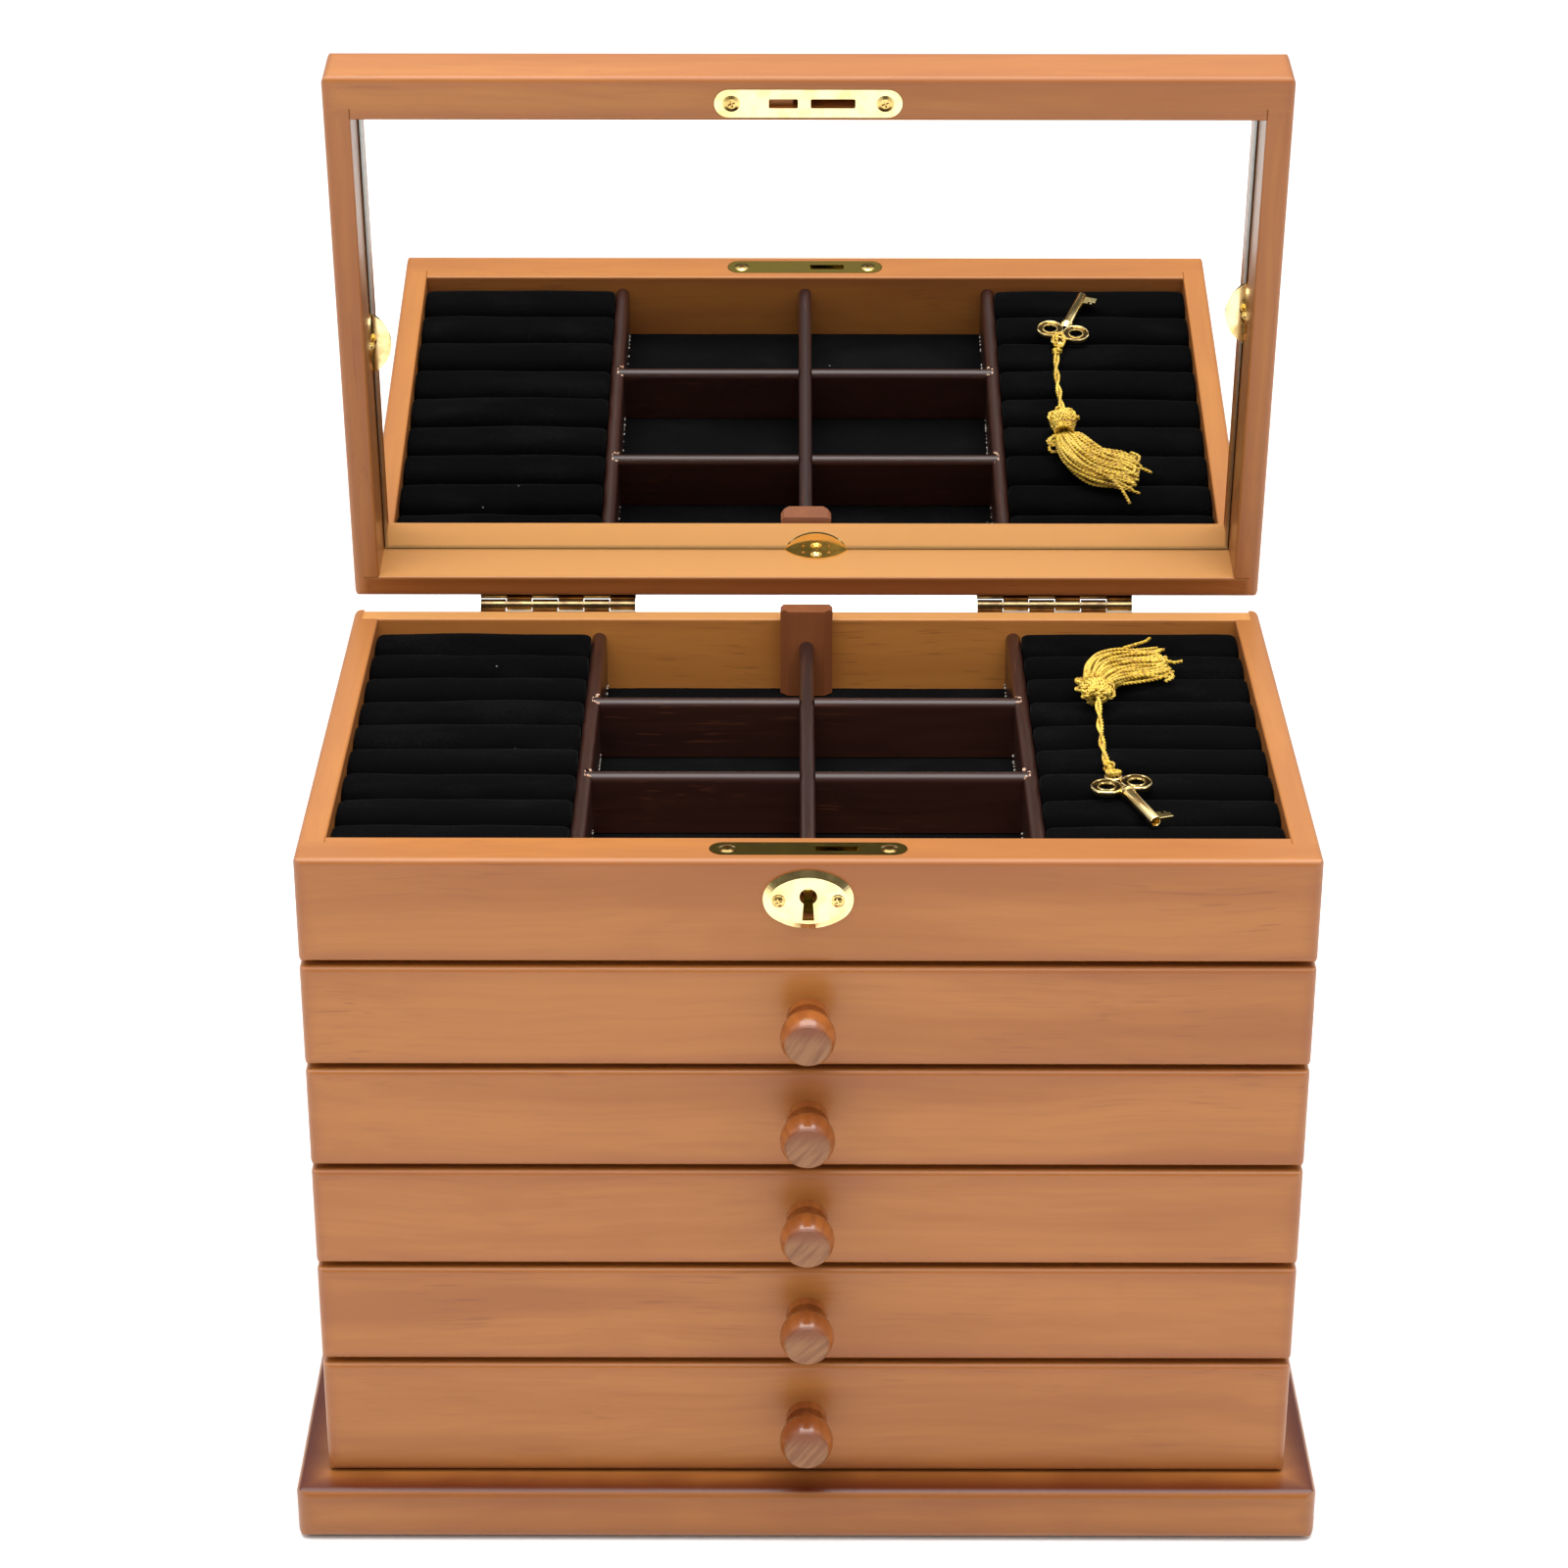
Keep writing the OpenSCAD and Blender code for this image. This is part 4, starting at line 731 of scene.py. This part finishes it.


# The plinth's dark toner, strongest on its up-facing top strip, is painted shadow where the chest stands on
# it.
board("base_plinth", width=0.016, toner_and_shade=(0.075, 0.007, 0.001, 1), toned_and_shaded=0.35, on_top=2.8)
# Where these boards look up, their rims are lightened: painted light from above. The back panel also has
# paler colours and less toner: painted light against the shade of the open lid.
board("side_panel_left", grain="Y", wear_and_top_light=0.15)
board("side_panel_right", grain="Y", wear_and_top_light=0.15)
board("back_panel", light=(0.50, 0.195, 0.042, 1), dark=(0.40, 0.140, 0.030, 1), wear_and_top_light=0.95, toned_and_shaded=0.2)
board("tray_front_wall", wear_and_top_light=0.1)
board("lid_front_rail", lid=True)
# The lid's rear rail: its wide dark toner is a painted reflection of the dark tray, and its up-facing ledge
# is fully lightened as painted light.
board("lid_rear_rail", lid=True, width=0.014, toner_and_shade=(0.13, 0.022, 0.004, 1), toned_and_shaded=0.6, wear_and_top_light=1.0)
board("lid_left_rail", grain="Y", lid=True)
board("lid_right_rail", grain="Y", lid=True)
board("lid_panel", lid=True, figure=0.4)
board("lid_block", grain="Z", light=(0.28, 0.090, 0.030, 1), dark=(0.19, 0.056, 0.018, 1), width=0.003)
for n in DRAWERS:
    board(f"drawer_{n}_front")

# ---- Bare wood inside -------------------------------------------------------
# The drawer boxes, the runners and the board under the tray are plain softwood and plywood, planed
# and left without stain.

BARE = dict(light=(0.72, 0.50, 0.27, 1), dark=(0.58, 0.37, 0.18, 1), toner_and_shade=(0.42, 0.24, 0.10, 1), toned_and_shaded=0.25,
            width=0.004, coat=0.0, figure=0.3)
board("tray_floor", **BARE)
board("drawer_runners", grain="Y", **BARE)
for n in DRAWERS:
    board(f"drawer_{n}_box", grain="Y", **BARE)

# ---- Knobs ------------------------------------------------------------------
# Turned from one piece: tenon, collar, neck and a ball whose end is cut flat. The turned faces are
# glossy; the flat end shows slanting grain, darker towards its top, under thinner varnish.

KNOB = (0.30, 0.092, 0.020, 1)
KNOB_DARK = (0.17, 0.040, 0.009, 1)
KNOB_END = (0.26, 0.115, 0.045, 1)
KNOB_END_DARK = (0.17, 0.062, 0.020, 1)
END_GRAIN_CELLS = (90, 90, 800)


def knob_finish(node):
    """The finish of one knob: glossy turned wood with a plainer flat end."""
    made, tree, shader, place = new_material(node + "_wood")
    low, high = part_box(node)
    rng = random.Random(node)
    own = add_node(tree, "Mapping", {"Vector": place, "Rotation": ALONG["Y"],
                                     "Location": [rng.uniform(-SHIFT, SHIFT) for _ in range(3)]}).outputs[0]
    side = place_group(tree, board_grain, {"Vector": own, "Light": KNOB, "Dark": KNOB_DARK, "Pore": PORE,
                                           "Figure": 0.35, "Pores": 0.3})
    slope = math.radians(rng.uniform(25, 60))
    slant = add_node(tree, "Mapping", {"Vector": place, "Rotation": (0, slope, 0)})
    sweep = stretched_noise(tree, slant.outputs[0], END_GRAIN_CELLS)
    end = mixed(tree, ramp(tree, sweep, 0.35, 0.7), KNOB_END, KNOB_END_DARK)
    along_axes = add_node(tree, "SeparateXYZ", {0: place}).outputs
    middle = (low.z + high.z) / 2
    end = mixed(tree, ramp(tree, along_axes["Z"], middle, high.z - 0.003, 0.0, 0.85), end, KNOB_DARK)
    cut = ramp(tree, along_axes["Y"], low.y + 0.0003, low.y + 0.0012, 1.0, 0.0)
    feed(tree, shader, {"Base Color": mixed(tree, cut, side.outputs["Color"], end),
                        "Roughness": ramp(tree, cut, 0.0, 1.0, 0.22, 0.42),
                        "Coat Weight": ramp(tree, cut, 0.0, 1.0, 0.5, 0.10),
                        "Coat Roughness": 0.12, "Specular IOR Level": 0.35})
    bumped(tree, shader, sweep, 0.08, 0.0002)
    finish(node, made)


for n in DRAWERS:
    knob_finish(f"drawer_{n}_knob")

# ---- Dividers ---------------------------------------------------------------
# Thin strips with rounded tops, stained dark red-brown. The cross dividers are let into notches in
# the side dividers, where the bare wood has chipped, and beads of glue show along their feet.

RED_BROWN = (0.034, 0.011, 0.007, 1)
RED_BROWN_DARK = (0.014, 0.004, 0.003, 1)
DARK_STAIN = dict(light=RED_BROWN, dark=RED_BROWN_DARK, toner_and_shade=(0.05, 0.014, 0.01, 1), toned_and_shaded=0.3, width=0.006,
                  figure=0.2, pores=0.3, coat=0.22)
board("divider_left", grain="Y", **DARK_STAIN)
board("divider_right", grain="Y", **DARK_STAIN)
CENTRE_STAIN = {**DARK_STAIN, "light": (0.030, 0.013, 0.011, 1), "dark": (0.016, 0.006, 0.005, 1)}
board("divider_centre", grain="Y", **CENTRE_STAIN)
board("cross_dividers", **DARK_STAIN)

GLUE_DARK = (0.36, 0.31, 0.26, 1)
GLUE_LIGHT = (0.55, 0.50, 0.44, 1)
GLUE_CELLS = (700, 700, 700)
RAW_DARK = (0.40, 0.20, 0.12, 1)
RAW_LIGHT = (0.74, 0.52, 0.38, 1)
RAW_CELLS = (300, 1500, 300)
glue, tree, shader, place = new_material("dried_glue")
crust = stretched_noise(tree, place, GLUE_CELLS)
feed(tree, shader, {"Base Color": mixed(tree, crust, GLUE_DARK, GLUE_LIGHT), "Roughness": 0.45})
bumped(tree, shader, crust, 0.3, 0.0002)
raw, tree, shader, place = new_material("chipped_wood")
fibre = stretched_noise(tree, place, RAW_CELLS)
feed(tree, shader, {"Base Color": mixed(tree, ramp(tree, fibre, 0.3, 0.7), RAW_DARK, RAW_LIGHT),
                    "Roughness": 0.85})
bumped(tree, shader, fibre, 0.5, 0.0003)

lining_low, lining_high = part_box("tray_lining")
floor_z = lining_high.z
divider_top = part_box("cross_dividers")[1].z
rng = random.Random(3)
CHIP = (0.55 * MM, 0.30 * MM, 0.45 * MM)
LONG_CHIP = (0.5 * MM, 2.5 * MM, 0.45 * MM)
CHIPS_A_SIDE = 3
END_MARGIN = 2 * MM
CROSS_MARGIN = 4 * MM
BEAD_CHANCE = 0.8


def lump(middle, size, rng, rough=0.25):
    """A small rough lump: an icosphere squeezed to size and pushed about."""
    ball = bmesh.new()
    bmesh.ops.create_icosphere(ball, subdivisions=2, radius=1.0)
    points = []
    for v in ball.verts:
        r = 1 + rng.uniform(-rough, rough)
        points.append(middle + Vector((v.co.x * size[0], v.co.y * size[1], v.co.z * size[2])) * r)
    faces = [tuple(v.index for v in f.verts) for f in ball.faces]
    ball.free()
    return points, faces


cross_points = sorted({round(v.co.y, 3) for v in nodes["cross_dividers"].data.vertices})
middle_y = (cross_points[0] + cross_points[-1]) / 2
front_points = [y for y in cross_points if y < middle_y]
rear_points = [y for y in cross_points if y > middle_y]
cross_ys = [sum(front_points) / len(front_points), sum(rear_points) / len(rear_points)]
chips, beads = [], []
for node, side in (("divider_left", 1), ("divider_right", -1)):
    low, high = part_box(node)
    face = high.x if side > 0 else low.x
    for y in cross_ys:
        for step in (-1, 1):
            for k in range(CHIPS_A_SIDE):
                chips.append(lump(Vector((face - side * rng.uniform(0.2, 1.9) * MM,
                                          y + step * rng.uniform(2.4, 2.9) * MM,
                                          divider_top - rng.uniform(0.1, 1.1) * MM)),
                                  CHIP, rng, 0.4))
        chips.append(lump(Vector((face - side * 2.3 * MM, y, divider_top - 0.5 * MM)), LONG_CHIP, rng, 0.3))
    y = low.y + END_MARGIN
    while y < high.y - END_MARGIN:
        y += rng.uniform(0.8, 3.2) * MM
        if min(abs(y - c) for c in cross_ys) > CROSS_MARGIN and rng.random() < BEAD_CHANCE:
            size = rng.uniform(0.18, 0.42) * MM
            beads.append(lump(Vector((face + side * 0.1 * MM, y, floor_z + rng.uniform(0.9, 2.2) * MM)),
                              (size, size * rng.uniform(1, 2), size), rng))
notch_chips = gather("notch_chips", chips)
notch_chips.data.materials.append(raw)
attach(notch_chips, "chest")
glue_beads = gather("glue_beads", beads)
glue_beads.data.materials.append(glue)
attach(glue_beads, "chest")

# ---- Velvet -----------------------------------------------------------------
# Black flock velvet: round foam rolls covered in it hold rings, and flat pieces of it line the tray
# and the drawers. The nap lies in brushed patches, and a few pale specks of lint cling to it.

LINT_COLOUR = (0.30, 0.31, 0.30, 1)
LINT = 0.8
PILE_CELLS = (1700, 1700, 1700)
STROKE_CELLS = (26, 60, 60)
STROKE_RAISE = 1.5
SPECK_CELLS = 85.0
velvet_pile, coming, going = new_group(
    "velvet pile",
    [("Vector", "Vector", None), ("Nap", "Color", (0, 0, 0, 1)), ("Brushed", "Color", (0, 0, 0, 1)),
     ("Lint", "Float", 1.0)],
    [("Color", "Color"), ("Height", "Float")])
tree = velvet_pile
pile = stretched_noise(tree, coming["Vector"], PILE_CELLS, detail=2.0)
stroke = stretched_noise(tree, coming["Vector"], STROKE_CELLS)
speck = add_node(tree, "TexVoronoi", {"Vector": coming["Vector"], "Scale": SPECK_CELLS})
dot = ramp(tree, speck.outputs["Distance"], 0.018, 0.032, 1.0, 0.0)
chance = add_node(tree, "SeparateXYZ", {0: speck.outputs["Color"]}).outputs[0]
dot = times(tree, times(tree, dot, ramp(tree, chance, 0.72, 0.80)), coming["Lint"])
colour = mixed(tree, times(tree, ramp(tree, stroke, 0.45, 0.75), ramp(tree, pile, 0.3, 0.7)),
               coming["Nap"], coming["Brushed"])
tree.links.new(mixed(tree, dot, colour, LINT_COLOUR), going["Color"])
tree.links.new(maths(tree, "ADD", pile, times(tree, stroke, STROKE_RAISE)), going["Height"])


def velvet(name, nap, brushed, sheen):
    """Velvet whose pile has one colour as it stands and one as it is brushed."""
    made, tree, shader, place = new_material(name)
    cloth = place_group(tree, velvet_pile, {"Vector": place, "Nap": nap, "Brushed": brushed, "Lint": LINT})
    feed(tree, shader, {"Base Color": cloth.outputs["Color"], "Roughness": 1.0,
                        "Specular IOR Level": 0.035, "Sheen Weight": sheen, "Sheen Roughness": 0.22,
                        "Sheen Tint": (0.75, 0.78, 0.72, 1)})
    bumped(tree, shader, cloth.outputs["Height"], 0.5, 0.0004)
    return made


roll_velvet = velvet("ring_roll_velvet", (0.0014, 0.0014, 0.0016, 1), (0.0045, 0.0045, 0.005, 1), 0.05)
lining_velvet = velvet("lining_velvet", (0.003, 0.003, 0.0033, 1), (0.007, 0.007, 0.0073, 1), 0.03)
ROLLS = 9
ROLL_GAP = 0.15 * MM
ROLL_SHOULDER = 0.52
ROLL_STATIONS = 30
ROLL_ROUND = 36


def ring_roll(name, low, high, rng):
    """One foam roll: flat below, full at the sides, bowed a little along its crest."""
    middle, half = (low.y + high.y) / 2, (high.y - low.y) / 2 - ROLL_GAP
    tall = high.z - low.z
    bow = rng.uniform(0.2, 0.8) * MM
    lean = rng.uniform(-0.5, 0.5) * MM
    phase = rng.uniform(0, 100)
    points, faces = [], []
    for i in range(ROLL_STATIONS + 1):
        t = i / ROLL_STATIONS
        x = low.x + (high.x - low.x) * (0.5 - 0.5 * math.cos(math.pi * t))
        end = min(x - low.x, high.x - x)
        plump = 1 - 0.07 * (1 - min(1, end / (2 * MM))) ** 2
        sway = 0.45 * MM * noise.noise(Vector((x * 32, phase, 0)))
        top = tall - bow * (2 * t - 1) ** 2 - 0.5 * MM * (0.5 + noise.noise(Vector((x * 45, phase, 7))))
        for k in range(ROLL_ROUND):
            a = 2 * math.pi * k / ROLL_ROUND
            c, s = math.cos(a), math.sin(a)
            across = half * math.copysign(abs(c) ** 0.52, c) * plump
            if s >= 0:
                up = top * (ROLL_SHOULDER + (1 - ROLL_SHOULDER) * s ** 0.62 * plump)
            else:
                up = top * ROLL_SHOULDER * (1 - abs(s) ** 0.35)
            points.append(Vector((x, middle + across + (sway + lean * t) * up / tall, low.z + up)))
    r = ROLL_ROUND
    for i in range(ROLL_STATIONS):
        faces += band(i * r, (i + 1) * r, r, True)
    faces += [tuple(range(r)), tuple(ROLL_STATIONS * r + k for k in reversed(range(r)))]
    made = new_mesh(name, points, faces)
    made.data.materials.append(roll_velvet)
    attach(made, "chest")
    return made


for side in ("left", "right"):
    low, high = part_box(f"ring_rolls_{side}")
    step = (high.y - low.y) / ROLLS
    rng = random.Random(f"rolls {side}")
    for n in range(ROLLS):
        roll = ring_roll(f"ring_roll_{side}_{n + 1}", Vector((low.x, low.y + n * step, low.z)),
                         Vector((high.x, low.y + (n + 1) * step, high.z)), rng)
        if n == 0:
            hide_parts(f"ring_rolls_{side}")

SHEET_ROWS = 60
SHEET_COLUMNS = 100
CUT_RAGGED = 0.3 * MM
SHEET_WAVE = 0.12 * MM


def laid_velvet(name, low, high, seed, body, stands_for):
    """A flat piece of velvet glued down, hardly waved, with its cut edge a little uneven."""
    rows, columns = SHEET_ROWS, SHEET_COLUMNS
    points, faces = [], []
    for top in (True, False):
        for j in range(rows + 1):
            for i in range(columns + 1):
                x = low.x + (high.x - low.x) * i / columns
                y = low.y + (high.y - low.y) * j / rows
                if i in (0, columns):
                    x += (1 if i == 0 else -1) * CUT_RAGGED * abs(noise.noise(Vector((y * 140, seed, 1))))
                if j in (0, rows):
                    y += (1 if j == 0 else -1) * CUT_RAGGED * abs(noise.noise(Vector((x * 140, seed, 5))))
                wave = SHEET_WAVE * noise.noise(Vector((x * 30, y * 30, seed)))
                points.append(Vector((x, y, high.z - 0.1 * MM + wave if top else low.z + 0.05 * MM)))
    wide = columns + 1
    n = (rows + 1) * wide
    for j in range(rows):
        for i in range(columns):
            a = j * wide + i
            b, c, d = a + 1, a + wide + 1, a + wide
            faces += [(a, b, c, d), (n + d, n + c, n + b, n + a)]
    for a in range(columns):
        b = rows * wide + a
        faces += [(a + 1, a, n + a, n + a + 1), (b, b + 1, n + b + 1, n + b)]
    for j in range(rows):
        a = j * wide
        b = a + columns
        faces += [(a, a + wide, n + a + wide, n + a), (b + wide, b, n + b, n + b + wide)]
    made = new_mesh(name, points, faces)
    made.data.set_sharp_from_angle(angle=math.radians(50))
    made.data.materials.append(lining_velvet)
    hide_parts(stands_for)
    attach(made, body)


laid_velvet("tray_velvet", lining_low, lining_high, 1, "chest", "tray_lining")
for n in DRAWERS:
    drawer = f"drawer_{n}"
    low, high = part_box(f"{drawer}_lining")
    laid_velvet(f"{drawer}_velvet", low, high, 10 + n, drawer, f"{drawer}_lining")

# ---- Felt under the plinth --------------------------------------------------
# A sheet of pressed black felt, glued under the plinth so that it doesn't mark the table.

FELT_DARK = (0.012, 0.012, 0.013, 1)
FELT_LIGHT = (0.040, 0.040, 0.042, 1)
FELT_CORNER = 4 * MM
CORNER_STEPS = 6
pressed_felt, tree, shader, place = new_material("pressed_felt")
fuzz = stretched_noise(tree, place, FIBRE_CELLS, detail=4.0)
feed(tree, shader, {"Base Color": mixed(tree, ramp(tree, fuzz, 0.3, 0.7), FELT_DARK, FELT_LIGHT),
                    "Roughness": 1.0, "Sheen Weight": 0.2})
bumped(tree, shader, fuzz, 0.6, 0.0003)
low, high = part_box("base_felt")
outline = []
for cx, cy, first in ((high.x, high.y, 0), (low.x, high.y, 90), (low.x, low.y, 180), (high.x, low.y, 270)):
    inward = Vector((math.copysign(FELT_CORNER, -cx), math.copysign(FELT_CORNER, -cy)))
    for k in range(CORNER_STEPS + 1):
        a = math.radians(first + 90 // CORNER_STEPS * k)
        outline.append(Vector((cx, cy)) + inward + FELT_CORNER * Vector((math.cos(a), math.sin(a))))
points = [Vector((p.x, p.y, z)) for z in (low.z, high.z) for p in outline]
n = len(outline)
faces = [tuple(reversed(range(n))), tuple(range(n, 2 * n))]
faces += band(0, n, n)
foot_felt = new_mesh("foot_felt", points, faces, smooth=False)
foot_felt.data.materials.append(pressed_felt)
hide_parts("base_felt")
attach(foot_felt, "chest")

# ---- Lock, keyhole plate, clips and hinges ----------------------------------
# The oval keyhole plate, the strike plate and the mirror clips are plated bright gold, as the key
# is. The screws and the hook are browner, the lock's plate and case greener, and the hinges darker.

BRASSES = [
    (gold_plate, ("keyhole_plate", "strike_plate", "mirror_clips")),
    (plated("screw_brass", (0.80, 0.58, 0.22, 1), (0.50, 0.34, 0.10, 1)),
     ("lock_screws", "lid_screws", "lock_hook")),
    (plated("lock_brass", (0.56, 0.42, 0.10, 1), (0.42, 0.30, 0.05, 1)), ("lock_plate", "lock_case")),
    (plated("aged_brass", (0.30, 0.21, 0.10, 1), (0.13, 0.085, 0.045, 1), 0.25),
     ("hinge_leaves_body", "hinge_leaves_lid", "hinge_pins", "hinge_screws_body", "hinge_screws_lid")),
]
for brass, pieces in BRASSES:
    for node in pieces:
        finish(node, brass)

# ---- Mirror -----------------------------------------------------------------
# Silvered float glass, laid in the lid's rebate with a card behind it. Its ground edge is dull.

SILVER = (0.93, 0.945, 0.94, 1)
SILVER_BRIGHT = (0.95, 0.96, 0.955, 1)
GROUND_GLASS = (0.25, 0.33, 0.30, 1)
CARD_DARK = (0.30, 0.23, 0.15, 1)
CARD_LIGHT = (0.42, 0.33, 0.22, 1)
mirror_glass, tree, shader, place = new_material("mirror_glass")
smear = stretched_noise(tree, place, (30, 30, 30))
place = add_node(tree, "Mapping", {"Vector": place, "Rotation": (-LID_SWING, 0, 0),
                                   "Location": closing.translation}).outputs[0]
low, high = board_box("mirror", True)
edge = place_group(tree, board_edge, {"Vector": place, "Low": low, "High": high, "Width": 0.001})
silver = mixed(tree, ramp(tree, smear, 0.3, 0.7), SILVER, SILVER_BRIGHT)
feed(tree, shader, {"Base Color": mixed(tree, times(tree, edge.outputs["Arris"], 0.6), silver, GROUND_GLASS),
                    "Roughness": times(tree, edge.outputs["Arris"], 0.3), "Metallic": 1.0})
finish("mirror", mirror_glass)

card, tree, shader, place = new_material("backing_card")
pulp = stretched_noise(tree, place, (400, 400, 400))
feed(tree, shader, {"Base Color": mixed(tree, pulp, CARD_DARK, CARD_LIGHT), "Roughness": 0.9})
bumped(tree, shader, pulp, 0.2, 0.0002)
finish("mirror_backing", card)
